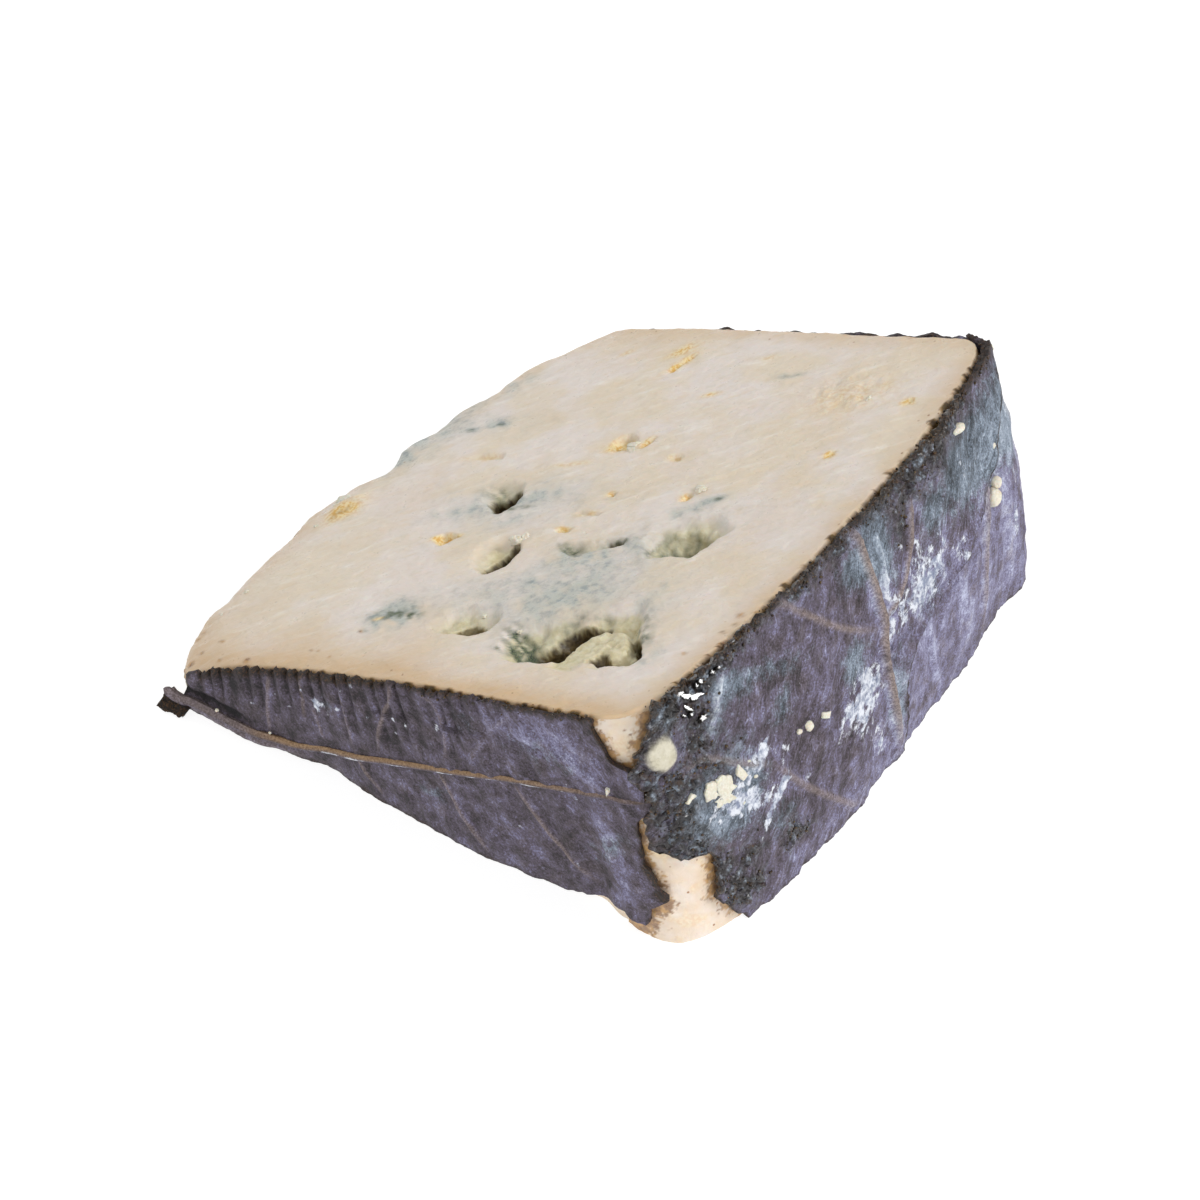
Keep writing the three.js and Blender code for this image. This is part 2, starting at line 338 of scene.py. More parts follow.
def lumps(spots, frames, sizes, detail, knobbly, seed):
    """Points and faces of many uneven balls.

    spots: their middles; frames: three axes for each; sizes: three half sizes for each; knobbly: how uneven.
    """
    points, faces = ball(detail)
    count = len(spots)
    own = points[None] + 40 * hashed(np.arange(3 * count).reshape(count, 3), seed)[:, None]
    swell = 1 + knobbly * noise(own, 1.1, seed) + 0.5 * knobbly * noise(own, 0.45, seed + 1)
    shaped = points[None] * swell[..., None] * sizes[:, None]
    placed = spots[:, None] + np.einsum("nvi,nij->nvj", shaped, frames)
    every = faces[None] + len(points) * np.arange(count)[:, None, None]
    return placed.reshape(-1, 3), every.reshape(-1, 3)


SLANTED = 0.13, 0.31, 1  # no lump's normal goes this way


def turned_frames(normals, turns):
    """Axes for lumps: two along a surface, turned by so many radians, and the surface's normal."""
    side = unit(np.cross(SLANTED, normals))
    other = np.cross(normals, side)
    c, s = np.cos(turns)[:, None], np.sin(turns)[:, None]
    return np.stack([c * side + s * other, c * other - s * side, normals], axis=1)


def rind_normals(along, up):
    """The way out of the rind."""
    step = 0.05
    ahead = on_rind(along + step, up) - on_rind(along - step, up)
    above = on_rind(along, np.minimum(up + 0.01, 1)) - on_rind(along, up - 0.01)
    return unit(np.cross(ahead, above))


def sheet(outer, inner, marks):
    """Points, faces and marks of a thin closed sheet, from its two grids and the marks of both."""
    points = np.concatenate([outer.reshape(-1, 3), inner.reshape(-1, 3)])
    marks = {key: np.concatenate([value.reshape(-1, *value.shape[2:])] * 2) for key, value in marks.items()}
    return points, shell_faces(*outer.shape[:2]), marks


def gather(*parts):
    """One set of points and faces from several."""
    points, faces, start = [], [], 0
    for part_points, part_faces in parts:
        points.append(part_points)
        faces += [[start + i for i in face] for face in part_faces]
        start += len(part_points)
    return np.concatenate(points), faces


# ---------------------------------------------------------------- materials

def shade(hex_colour):
    """A colour that looks like this hex, as the shader takes it."""
    levels = [int(hex_colour[i:i + 2], 16) / 255 for i in (0, 2, 4)]
    linear = [x / 12.92 if x <= 0.04045 else ((x + 0.055) / 1.055) ** 2.4 for x in levels]
    return (*linear, 1)


class Surface:
    """A material and short ways to add nodes to it."""

    def __init__(self, name, **finish):
        self.material = bpy.data.materials.new(name)
        self.material.use_nodes = True
        self.tree = self.material.node_tree
        self.shader = self.tree.nodes["Principled BSDF"]
        for socket, value in finish.items():
            self.set(self.shader, socket.replace("_", " "), value)

    def set(self, node, socket, value):
        if isinstance(value, bpy.types.NodeSocket):
            self.tree.links.new(value, node.inputs[socket])
        else:
            node.inputs[socket].default_value = value

    def add(self, kind, settings=(), **inputs):
        """A node with its settings and its inputs, by name or, for _0 and _1, by number."""
        node = self.tree.nodes.new("ShaderNode" + kind)
        for key, value in dict(settings).items():
            setattr(node, key, value)
        for socket, value in inputs.items():
            self.set(node, int(socket[1:]) if socket[0] == "_" else socket.replace("_", " "), value)
        return node

    def mark(self, name, output="Fac"):
        """A mark of the mesh, which make() was given."""
        return self.add("Attribute", {"attribute_name": name}).outputs[output]

    def place(self, turn=0, stretch=(1, 1, 1)):
        """Object coordinates in millimetres, turned about Z and then stretched."""
        here = self.add("TexCoord").outputs["Object"]
        scale = tuple(1000 * x for x in stretch)
        turned = self.add("Mapping", Vector=here, Rotation=(0, 0, turn)).outputs[0]
        return self.add("Mapping", Vector=turned, Scale=scale).outputs[0]

    def noise(self, where, scale, detail=3, roughness=0.55):
        return self.add("TexNoise", Vector=where, Scale=scale, Detail=detail, Roughness=roughness).outputs[0]

    def step(self, value, low, high):
        """0 below low, 1 above high, and a smooth run between them."""
        settings = {"interpolation_type": "SMOOTHSTEP"}
        return self.add("MapRange", settings, Value=value, From_Min=low, From_Max=high).outputs[0]

    def math(self, operation, a, b):
        return self.add("Math", {"operation": operation}, _0=a, _1=b).outputs[0]

    def plus(self, a, b):
        return self.math("ADD", a, b)

    def minus(self, a, b):
        return self.math("SUBTRACT", a, b)

    def times(self, a, b):
        return self.math("MULTIPLY", a, b)

    def span(self, value, before, after):
        """A value moved from one span of numbers to another, straight and held at both ends."""
        inputs = dict(From_Min=before[0], From_Max=before[1], To_Min=after[0], To_Max=after[1])
        return self.add("MapRange", Value=value, **inputs).outputs[0]

    def blend(self, share, a, b):
        """One colour over another."""
        a, b = (shade(colour) if isinstance(colour, str) else colour for colour in (a, b))
        return self.add("Mix", {"data_type": "RGBA"}, Factor=share, _6=a, _7=b).outputs[2]

    def mottled(self, value, low, high, a, b):
        """One colour where a value is low and another where it is high."""
        return self.blend(self.step(value, low, high), a, b)

    def ramp(self, value, stops):
        """The colour at a value, from stops of (value, colour)."""
        node = self.add("ValToRGB", Fac=value)
        elements = node.color_ramp.elements
        for at, _ in stops[2:]:
            elements.new(at)
        for element, (at, colour) in zip(elements, stops):
            element.position = at
            element.color = shade(colour)
        return node.outputs[0]

    def bump(self, height, distance, strength=1, under=None):
        """A bump so many millimetres high."""
        inputs = {"Height": height, "Distance": distance / 1000, "Strength": strength}
        if under:
            inputs["Normal"] = under
        return self.add("Bump", **inputs).outputs[0]

    def finish(self, colour, roughness=None, normal=None):
        """The material, with these in its shader."""
        self.set(self.shader, "Base Color", colour)
        if roughness is not None:
            self.set(self.shader, "Roughness", roughness)
        if normal is not None:
            self.set(self.shader, "Normal", normal)
        return self.material


def paste_material():
    """Cream paste with knife marks, mould in and round the holes, and stains by the leaves.

    Painted sheen lies on the palest knife streaks, and painted shade deep in the steepest holes and, with the
    warm tint, toward the front edge.
    """
    s = Surface("paste", Subsurface_Weight=0.2, Subsurface_Radius=(1, 0.6, 0.35), Subsurface_Scale=0.0014)
    s.set(s.shader, "Specular IOR Level", 0.5)
    here = s.place()
    streak = s.noise(s.place(-KNIFE_TURN, (0.19, 0.8, 0.5)), 0.8, 4, 0.55)
    fine = s.noise(here, 0.7, 4, 0.6)
    grain = s.noise(here, 6, 2)
    colour = s.mottled(s.noise(here, 0.07, 3), 0.4, 0.6, "e8d9c3", "ebe0d7")
    # Knife streaks in lighter and darker tone; the near-white one is painted sheen where their bump stands
    # highest
    for value, low, high, share, tint in (
        (streak, 0.53, 0.78, 0.6, "faf4ea"),
        (streak, 0.45, 0.25, 0.42, "e4cfae"),
        (fine, 0.5, 0.7, 0.3, "dad0c0"),
    ):
        colour = s.blend(s.times(s.step(value, low, high), share), colour, tint)
    for mark, tint in (
        # a warm tint toward the edges and the near side, whose darker tan is also painted shade toward the
        # front
        ("warm", "dabd98"),
        ("cave", s.mottled(fine, 0.4, 0.62, "cdc292", "e4dcb8")),
        # deep: olive painted shade in the steepest holes
        ("deep", s.mottled(fine, 0.4, 0.62, "85723e", "aa9d6c")),
        ("blue", s.mottled(s.noise(here, 0.7, 5, 0.66), 0.44, 0.66, "c5c7be", "9aa2a2")),
        ("mould", s.mottled(grain, 0.4, 0.6, "747f5c", "37443c")),
        ("gold", s.mottled(s.noise(here, 1.6, 3), 0.4, 0.6, "e2b665", "f6e2b0")),
        ("rust", s.mottled(fine, 0.4, 0.6, "7d5020", "c0914f")),
        # dark: near-black painted shade deep in the steepest holes, and the darkest leaf stains
        ("dark", s.mottled(fine, 0.35, 0.65, "2c1d08", "63512c")),
    ):
        colour = s.blend(s.mark(mark), colour, tint)
    dots = s.add("TexVoronoi", Vector=here, Scale=0.5).outputs["Distance"]
    colour = s.blend(s.times(s.step(dots, 0.14, 0.07), s.mark("specks")), colour, "97632c")
    normal = s.bump(streak, 0.4, 0.7)
    normal = s.bump(fine, 0.35, 0.6, normal)
    normal = s.bump(grain, 0.06, 0.6, normal)
    return s.finish(colour, s.span(fine, (0.3, 0.7), (0.25, 0.5)), normal)


def leaf_hairs(s, fibre, across, along, detail, roughness, distortion):
    """Noise that is drawn out along the leaf's fibres."""
    where = s.add("Mapping", Vector=fibre, Scale=(across, along, 1)).outputs[0]
    inputs = {"Scale": 1, "Detail": detail, "Roughness": roughness, "Distortion": distortion}
    return s.add("TexNoise", Vector=where, **inputs).outputs[0]


def leaf_paleness(s, here, fibre, hair, grain):
    """How pale a dry leaf is, from 0 to 1."""
    wisps = leaf_hairs(s, fibre, 0.45, 0.16, 5, 0.62, 0.5)
    blotch = s.noise(here, 0.45, 5, 0.62)
    # the bloom mark, which carries the painted shade in the near leaf's folds
    level = s.times(s.mark("bloom"), 0.75)
    for part, share in ((wisps, 0.6), (blotch, 0.75), (grain, 1.2), (s.mark("powder"), 0.16)):
        level = s.plus(level, s.times(part, share))
    winding = s.math("ABSOLUTE", s.minus(leaf_hairs(s, fibre, 0.5, 0.07, 3, 0.6, 0.8), 0.5), 0)
    fuzz = s.plus(s.minus(hair, 0.5), s.times(s.step(winding, 0.022, 0.002), 0.25))
    return s.minus(s.plus(level, s.times(fuzz, s.mark("hairy"))), 1.15)


def dry_leaf_colour(s, here, level, hair, grain, clumps):
    """Bare leaf, browned in places, with a film, veins and powder."""
    bare = s.ramp(level, [(0, "1e1b1e"), (0.2, "443b42"), (0.42, "615868"), (0.66, "8582a2"), (1, "c6cae2")])
    brown = s.ramp(level, [(0, "1d1613"), (0.3, "4b3f3a"), (0.6, "75675f"), (1, "a79b93")])
    bare = s.blend(s.times(s.step(s.noise(here, 0.33, 4, 0.6), 0.5, 0.66), 0.32), bare, brown)
    film = s.ramp(level, [(0, "23262a"), (0.22, "4a525b"), (0.45, "76818f"), (0.7, "a3afbf"), (1, "dfe6ee")])
    filmed = s.step(s.plus(s.mark("film"), s.times(clumps, 1.6)), 0.95, 1.6)
    colour = s.blend(filmed, bare, film)
    # tan veins; on the stalk this tan lies on its upward side as painted highlight
    colour = s.blend(s.mark("vein"), colour, s.mottled(grain, 0.35, 0.65, "6c5d58", "a6958c"))
    drift = s.plus(s.times(clumps, 2.2), s.times(hair, 1.4))
    crust = s.step(s.plus(s.mark("powder"), drift), 2.3, 2.75)
    crust = s.times(crust, s.step(s.mark("powder"), 0.02, 0.3))
    return s.blend(crust, colour, s.mottled(clumps, 0.4, 0.62, "8d96ae", "e9ecf4"))


def soaked_leaf_colour(s, here, lump):
    """Dark wet leaf with pale lumps and brown spots."""
    soaked = s.ramp(lump, [
        (0.3, "0d0a08"), (0.46, "211d1a"), (0.55, "3c3c3d"), (0.63, "6b7682"), (0.76, "bcc6d2")])
    return s.blend(s.times(s.step(s.noise(here, 0.5, 4), 0.55, 0.64), 0.45), soaked, "4a3216")


def leaf_material():
    """Dark cured leaf: fine pale fibres, lavender bloom, blue-grey film, powder, tan veins and damp spots.

    Light and shade are painted in two places: a tan and gold highlight on the stalk's upward side, and
    shade in the near leaf's folds and behind its stalk.
    """
    s = Surface("leaf")
    s.set(s.shader, "Specular IOR Level", 0.45)
    here = s.place()
    swirl = s.add("TexNoise", Vector=here, Scale=0.11, Detail=2).outputs["Color"]
    swirled = {"_0": swirl, "_1": (8, 8, 0), "_2": s.mark("fibre", "Vector")}
    fibre = s.add("VectorMath", {"operation": "MULTIPLY_ADD"}, **swirled).outputs[0]
    hair = leaf_hairs(s, fibre, 2.4, 0.26, 4, 0.65, 0.4)
    grain = s.noise(here, 2.8, 3, 0.8)
    clumps = s.noise(here, 0.7, 5, 0.7)
    lump = s.noise(here, 0.85, 4, 0.62)
    damp = s.mark("damp")
    level = leaf_paleness(s, here, fibre, hair, grain)
    colour = dry_leaf_colour(s, here, level, hair, grain, clumps)
    colour = s.blend(s.times(damp, 0.9), colour, soaked_leaf_colour(s, here, lump))
    colour = s.blend(s.mark("edge"), colour, s.mottled(grain, 0.46, 0.68, "1a130c", "5c4020"))
    # gold: only on the stalk's very top, as painted highlight
    colour = s.blend(s.mark("gold"), colour, s.mottled(grain, 0.35, 0.65, "8a6842", "b89568"))
    cream = s.step(s.plus(s.mark("cream"), s.times(clumps, 0.7)), 0.75, 1.3)
    colour = s.blend(cream, colour, s.mottled(clumps, 0.35, 0.65, "cdc6ae", "dbd5c2"))
    dry = s.minus(1, damp)
    normal = s.bump(s.times(hair, dry), 0.2, 0.6)
    normal = s.bump(s.times(grain, dry), 0.16, 0.9, normal)
    normal = s.bump(s.times(clumps, dry), 0.3, 0.6, normal)
    normal = s.bump(s.times(s.noise(here, 0.75, 1, 0.4), damp), 1.3, 1, normal)
    dull = s.span(grain, (0.3, 0.7), (0.5, 0.85))
    wet = s.span(lump, (0.5, 0.68), (0.1, 0.24))
    roughness = s.add("Mix", {"data_type": "FLOAT"}, _0=s.step(damp, 0.15, 0.5), _2=dull, _3=wet).outputs[0]
    return s.finish(colour, roughness, normal)


def granule_material():
    """Dark wet grains on the leaves' edges."""
    s = Surface("granules", Subsurface_Weight=0.1, Subsurface_Scale=0.0008)
    here = s.place()
    colour = s.mottled(s.noise(here, 0.9, 3), 0.42, 0.62, "201810", "453219")
    colour = s.blend(s.step(s.noise(here, 0.5, 3), 0.55, 0.7), colour, "5f4822")
    colour = s.blend(s.step(s.noise(here, 4, 2), 0.55, 0.75), colour, "6a5636")
    normal = s.bump(s.noise(here, 7, 2), 0.05)
    return s.finish(colour, 0.2, normal)


def wet_material():
    """Smooth wet leaf."""
    s = Surface("wet_leaf")
    return s.finish(s.mottled(s.noise(s.place(), 2, 3), 0.4, 0.6, "1b1815", "34302c"), 0.16)


def curd_material():
    """Crumbs and lumps of paste."""
    s = Surface("curd", Subsurface_Weight=0.3, Subsurface_Radius=(1, 0.6, 0.35), Subsurface_Scale=0.001)
    fine = s.noise(s.place(), 2.5, 3, 0.6)
    return s.finish(s.mottled(fine, 0.35, 0.65, "e6e1d2", "d6cfbc"), 0.5, s.bump(fine, 0.15))


def floor_material():
    """A glowing white sheet, as if lit from below, that stays white beside the cheese and lights it."""
    s = Surface("floor", Emission_Color=(1, 1, 1, 1), Emission_Strength=0.85)
    return s.finish((0.3, 0.3, 0.3, 1), 0.9)


# ---------------------------------------------------------------- the paste

# The holes, as outlines of radius and Y in the upper face. depth: how deep; near and far: how wide the wall
# is on the viewer's side, where it is steep, and on the other, where it slopes; dark: how strongly painted
# shade darkens it inside, standing in for the shadow in its depth.
MOUTHS = [
    # the largest hole
    dict(depth=3, near=1.3, far=6.5, outline=[(64.6, 13.2), (67.4, 9.9), (70.8, 9.4), (77.5, 10.6),
        (83, 10.6), (88, 11.2), (92, 11.9), (92.8, 14.2), (90.6, 18.2), (87.6, 23.1), (84.4, 28.2),
        (80.5, 26.4), (75.4, 24.2), (70.5, 22.5), (66.4, 20), (63.9, 17)]),
    # its left shaft
    dict(depth=6.5, near=1.4, far=1.9, dark=1, outline=[(69.6, 10), (71, 9.7), (77.5, 10.9), (79.2, 10.6),
        (79.5, 14.8), (79.8, 19.4), (81, 21), (80.6, 22.2), (76.4, 21.8), (73.6, 19.8), (72, 16.8),
        (71, 14), (70.2, 11.8)]),
    # its right shaft
    dict(depth=5.4, near=1.1, far=1.7, dark=0.9, outline=[(87.6, 11.6), (92, 12.2), (92.4, 14.3),
        (90.8, 17.2), (88.6, 20), (86.8, 20.2), (87, 18.8), (88.2, 18.2), (89.2, 15.8), (88.4, 13.8),
        (86.9, 12.8)]),
    # the others
    dict(depth=1.9, near=0.8, far=4.8, outline=[(73.4, 40), (75.7, 37.4), (78.2, 38.1), (84.4, 38.9),
        (85.2, 41.3), (86, 44.3), (87.4, 47.2), (84.5, 49.4), (79.5, 49.6), (75, 49), (72, 46)]),
    dict(depth=2.6, near=0.8, far=3, outline=[(76.4, 38.3), (84.2, 39.3), (84.8, 41.5), (85, 44.6),
        (82, 46.8), (77.4, 47), (75, 44.4), (75.2, 40.4)]),
    dict(depth=3, near=0.7, far=1.6, dark=0.8, outline=[(77.4, 38.4), (84.2, 39.2), (84.4, 42),
        (82.8, 43.6), (80, 43.2), (77.8, 41)]),
    dict(depth=1.7, near=0.7, far=4.2, outline=[(45.2, 32.2), (49, 29.3), (51, 30), (52.6, 32.3),
        (52.6, 35.2), (51.6, 38.4), (48, 40.6), (44.4, 39.4), (43, 36)]),
    dict(depth=4.6, near=1.1, far=1.5, dark=1, outline=[(48.2, 30.9), (51, 30.4), (52.4, 32.6),
        (52.2, 36.4), (50.4, 39.2), (48.4, 38.6), (47.6, 34.4)]),
    dict(depth=1.5, near=0.7, far=3.2, outline=[(33.6, 50), (35.4, 48), (37.2, 46.9), (41, 45.6),
        (42.6, 48), (42, 51.4), (39.8, 54.2), (35.6, 54.6), (33, 52.6)]),
    dict(depth=5, near=1.1, far=1.4, dark=1, outline=[(36.4, 47.7), (41, 46.1), (42.2, 48.1), (41, 52.4),
        (38.4, 53), (37, 51), (35.4, 50.4)]),
    dict(depth=1.5, near=0.6, far=4, outline=[(49, 15), (52, 13.8), (55.6, 14.4), (58.5, 14.1),
        (60.7, 16.4), (61.8, 19.8), (59, 22.6), (54.8, 22.8), (50.6, 21.6), (48.8, 18.5)]),
    dict(depth=2.6, near=0.6, far=1.6, dark=0.66, outline=[(54, 14.8), (58.6, 14.5), (60, 16.6),
        (58.6, 18.6), (56, 19.2), (54.4, 17.4)]),
    dict(depth=1, near=0.5, far=1.6, outline=[(58.5, 38), (63.5, 36.2), (65, 38.2), (67.4, 39),
        (70.4, 40.3), (69.9, 42.2), (66.5, 41.7), (63, 41), (59.5, 40.4)]),
    dict(depth=2.2, near=0.4, far=0.9, dark=0.8, outline=[(66.4, 39.4), (70.3, 40.5), (69.8, 41.8),
        (66.6, 41)]),
    dict(depth=1.5, near=0.5, far=1.3, outline=[(33, 37.4), (34.2, 36.4), (36, 36), (36.9, 37.7),
        (38.4, 38.6), (36.6, 39.8), (34, 39.4)]),
    dict(depth=1.5, near=0.5, far=1.3, outline=[(48.8, 66.3), (51.4, 64), (53.4, 64.8), (53.4, 67.2),
        (50.4, 69)]),
    dict(depth=1.2, near=0.4, far=0.9, outline=[(54.8, 65), (56.6, 65.8), (56.6, 69), (54.8, 68)]),
    dict(depth=1.6, near=0.4, far=1.2, outline=[(71.8, 52.4), (73.8, 52.6), (74.2, 54.6), (72.6, 55.2)]),
    dict(depth=1.1, near=0.4, far=0.9, outline=[(58, 52.2), (59.3, 52.4), (59.2, 53.8), (58, 53.6)]),
    dict(depth=1, near=0.4, far=1, outline=[(54.6, 42.4), (57.3, 42.6), (57.6, 43.8), (55, 43.8)]),
    dict(depth=0.7, near=0.5, far=1.2, outline=[(54.6, 46.2), (59.4, 47.2), (60.4, 48.6), (55.6, 48)]),
    dict(depth=0.7, near=0.4, far=1.2, outline=[(62, 62.6), (65.2, 62.4), (65.6, 64), (62.8, 64.4)]),
    dict(depth=0.6, near=0.5, far=1.4, outline=[(22.4, 60.4), (27, 59.4), (31, 59.6), (30, 61.6),
        (24, 62.2)]),
    dict(depth=0.7, near=0.4, far=1, outline=[(91, 66.2), (92.6, 66.4), (92.4, 68), (91.2, 67.8)]),
    dict(depth=0.6, near=0.3, far=0.8, outline=[(96, 81.6), (97.8, 81.6), (97.6, 82.8), (96.2, 82.8)]),
    dict(depth=0.7, near=0.4, far=1, outline=[(44.6, 87), (46.4, 86.6), (48.6, 91), (47.4, 91.6)]),
]

# What still stands in the largest hole, and how far below the upper face.
TONGUE = dict(near=1.3, far=1.3, outline=[
    (77.6, 8.6), (77.4, 12.6), (77.9, 17.2), (80.2, 20.8), (84.4, 21.6), (87.6, 19.4), (88.9, 16),
    (88.2, 13.7), (86.4, 12.7), (88.2, 10.4), (84, 9.2),
])
TONGUE_SLOPE = 0.06  # how far it droops with each millimetre from its root
TONGUE_ROOT = (84, 10)
CORNER_EASE = 9  # how little the walls' corners are rounded
TINY = 1e-9  # keeps a division or a logarithm from failing
CURL = dict(depth=2.2, near=0.7, far=1.2, outline=[
    (83.2, 12.6), (86.4, 12.2), (87.4, 13.6), (86, 15), (84, 15.2),
])


def edge_shares(radius, y, form):
    """How deep inside a form's outline each point is, from 0 at or past it to 1 past its wall.

    The wall is as wide as `near` on the viewer's side and as `far` on the other.
    """
    points = np.stack([radius, y], -1)
    corners = np.array(form["outline"], float)
    inside = np.zeros(radius.shape, bool)
    soft = np.zeros(radius.shape)
    for a, b in zip(corners, np.roll(corners, -1, axis=0)):
        step = b - a
        t = np.clip(((points - a) @ step) / (step @ step), 0, 1)
        gone = points - a - t[..., None] * step
        distance = np.linalg.norm(gone, axis=-1) + TINY
        facing = (gone @ TO_VIEWER) / distance
        wall = mix(form["near"], form["far"], 0.5 + 0.5 * facing)
        soft += np.exp(-CORNER_EASE * distance / wall)
        crosses = (a[1] > y) != (b[1] > y)
        reach = a[0] + (y - a[1]) * step[0] / (step[1] if step[1] else TINY)
        inside ^= crosses & (radius < reach)
    share = np.clip(-np.log(soft + TINY) / CORNER_EASE, 0, 1)
    return np.where(inside, share, 0)


def bowl(share):
    """A wall's run down from its edge: steep first, then level."""
    return np.sin(np.pi / 2 * np.clip(share, 0, 1)) ** 1.3


def patch(radius, y, at, size, turn):
    """An oval in the upper face. turn: from the radius towards Y."""
    return oval(radius - at[0], y - at[1], size, turn)


# Pale grey mould in the upper face: (radius, Y), (length, width), turn, strength.
HAZES = [
    ((40.8, 17), (3.6, 3.6), 0, 1.8), ((38.5, 12.5), (1.4, 1), 0, 0.5), ((44.2, 18), (2.4, 1.8), 30, 0.9),
    ((66, 37), (8, 3), 30, 0.55), ((68, 31), (9, 5), 60, 0.42), ((62, 37.5), (3.4, 1.2), 0, 0.9),
    ((76.3, 51), (4.6, 1.5), 38, 0.85), ((79, 53.6), (1.6, 0.9), 38, 0.8), ((80, 46), (8, 6), 20, 0.3),
    ((94, 14.5), (2.6, 1.7), 60, 0.7), ((84, 28), (6, 1.4), 70, 0.3), ((40, 49.5), (11, 4.5), 15, 0.45),
    ((33, 45), (5, 1.6), 15, 0.6), ((44.5, 50.5), (5, 1.4), 25, 0.7), ((45, 44), (4, 1.2), 30, 0.45),
    ((7, 61), (2.6, 5), 0, 0.9), ((7.5, 70), (2, 5), 0, 1), ((10, 66), (4, 9), 0, 0.5),
    ((12, 78), (4, 4), 0, 0.4), ((17.2, 68.3), (2, 1), 0, 0.8), ((22.4, 70.1), (1.4, 0.9), 0, 0.9),
    ((20, 70), (9, 3), 0, 0.45), ((16.5, 83), (4, 3), 0, 0.6), ((70.3, 87.4), (2.4, 0.8), 17, 1),
    ((60, 29), (7, 3), 50, 0.35), ((55, 23), (8, 6), 10, 0.25), ((70, 24), (8, 6), 40, 0.35),
    ((87, 26), (3, 5), 20, 0.3),
]
# Broad thin mould, in the same form.
MISTS = [
    ((72, 29), (12, 9), 50, 0.6), ((45, 47), (13, 7), 20, 0.3), ((9, 68), (6, 12), 0, 0.35),
    ((52, 24), (9, 6), 0, 0.25),
]
# Orange and yellow bits, in the same form.
GOLDS = [
    ((34.6, 38.2), (1.9, 1), 25, 1), ((37.6, 38.9), (1, 0.5), 25, 0.9), ((51, 66), (2.6, 1.8), 0, 0.7),
    ((50.2, 65.2), (1.4, 1), 40, 0.8), ((55.7, 67), (0.9, 1.6), 0, 0.9),
    ((26.6, 60.6), (4.6, 1.1), 8, 0.35), ((45.5, 59.8), (3.4, 0.8), 15, 0.4),
    ((63.8, 63.4), (1.8, 0.8), 0, 0.55), ((91.8, 66.9), (1.1, 1), 0, 1.2),
    ((96.9, 82.1), (1.2, 0.9), 0, 1.3), ((57.6, 47.4), (2.6, 0.7), 15, 0.55),
    ((56, 43.1), (1.5, 0.6), 0, 0.6), ((9, 44.4), (4.2, 2.6), 60, 0.6), ((84.8, 83), (7.4, 5), 10, 0.34),
    ((46.4, 89), (2.8, 1), 66, 1.2), ((44.4, 93), (2.6, 1.5), 50, 0.8), ((33, 92), (1.2, 0.8), 60, 0.5),
    ((56.4, 15), (3, 0.6), 0, 0.5), ((38.9, 15.8), (0.8, 0.5), 20, 1), ((58.6, 81), (1.6, 0.8), 20, 0.6),
    ((58.4, 53), (0.9, 0.7), 0, 0.6), ((73, 53.4), (1, 0.9), 0, 0.8), ((62, 92), (2.4, 0.9), 10, 0.3),
]
# Small brown stains: radius, Y, length, strength.
RUST_SPOTS = [
    (5.4, 10.9, 0.46, 1), (5.6, 9.2, 0.46, 1), (12.4, 7.1, 0.56, 1), (10.3, 4.4, 0.46, 1),
    (9.7, 2.5, 0.65, 1), (15.8, 2, 0.46, 1), (21.9, 1.6, 0.74, 1), (32.3, 5.7, 0.46, 0.9),
    (33.9, 5.6, 0.37, 0.8), (37.2, 4.3, 0.37, 0.9), (37.9, 12.1, 0.46, 0.9), (102.9, 26.3, 0.65, 1),
    (103.7, 24.1, 0.46, 1), (102.7, 22.1, 0.46, 1), (99.5, 16.2, 0.46, 1),
]
RUST_TURN = -42
RUSTS = []  # all brown stains, in the form of the haze
for *middle, long, strength in RUST_SPOTS:
    RUSTS.append((middle, (long, round(0.65 * long, 2)), RUST_TURN, strength))
RUSTS.append(((9, 43.4), (2.2, 0.6), 60, 0.4))
# Green-black mould in the holes, in the same form.
MOULDS = [
    ((68.4, 14.6), (4, 1.9), -35, 1.7), ((71, 13), (2.2, 1.4), -50, 1.4), ((66, 12.2), (1.2, 0.6), 0, 0.8),
    ((70.8, 17.4), (2.6, 0.9), 58, 0.4), ((74, 21.3), (2.4, 0.8), 38, 0.5),
    ((78, 23), (2.6, 0.7), 15, 0.35), ((79.5, 43.5), (3.6, 2.6), 0, 0.9), ((76, 40.5), (1.6, 2.4), 0, 0.8),
    ((68.3, 40.8), (2.4, 1), 20, 1.2), ((60.6, 38.8), (2.4, 1.2), 0, 1), ((88, 21.5), (1.4, 3.4), 30, 0.8),
    ((36, 51.6), (2.6, 1.2), 0, 0.8), ((41, 48), (1, 1.6), 0, 0.8), ((43.6, 47.4), (2.6, 0.5), 20, 0.8),
    ((41, 17.6), (3, 1.5), 20, 1.1), ((44.6, 17.6), (1.6, 0.9), 30, 1.2),
    ((38.6, 12.2), (0.7, 0.4), 0, 0.9), ((40, 17.8), (0.9, 0.4), 0, 0.8), ((79.6, 53.8), (1, 0.5), 30, 0.9),
    ((17.2, 68.3), (1.2, 0.6), 0, 0.8), ((70.3, 87.3), (1.6, 0.4), 17, 0.8),
    ((90, 18.6), (1.4, 3), 60, 0.5), ((22.4, 70.1), (0.9, 0.5), 0, 0.8),
]
ROUGH_PATCH = ((84.8, 83.3), (8, 5.4), 20)  # where the paste has torn instead of cutting
NEAR_CORNER = (99, 2.5)  # where the leaves have left no stain
EDGE_ROUND = 0.8  # the radius of the upper face's edge
DEEPEST = 0.17  # how deep the paste may be cut, as a share of the radius, so that no hole goes through
PUFF = ((8, 45.6), (3, 2.2), 60)  # a lump near the thin edge
YELLOW = ((9.6, 44), (2.4, 1.5), 60)  # its yellow side


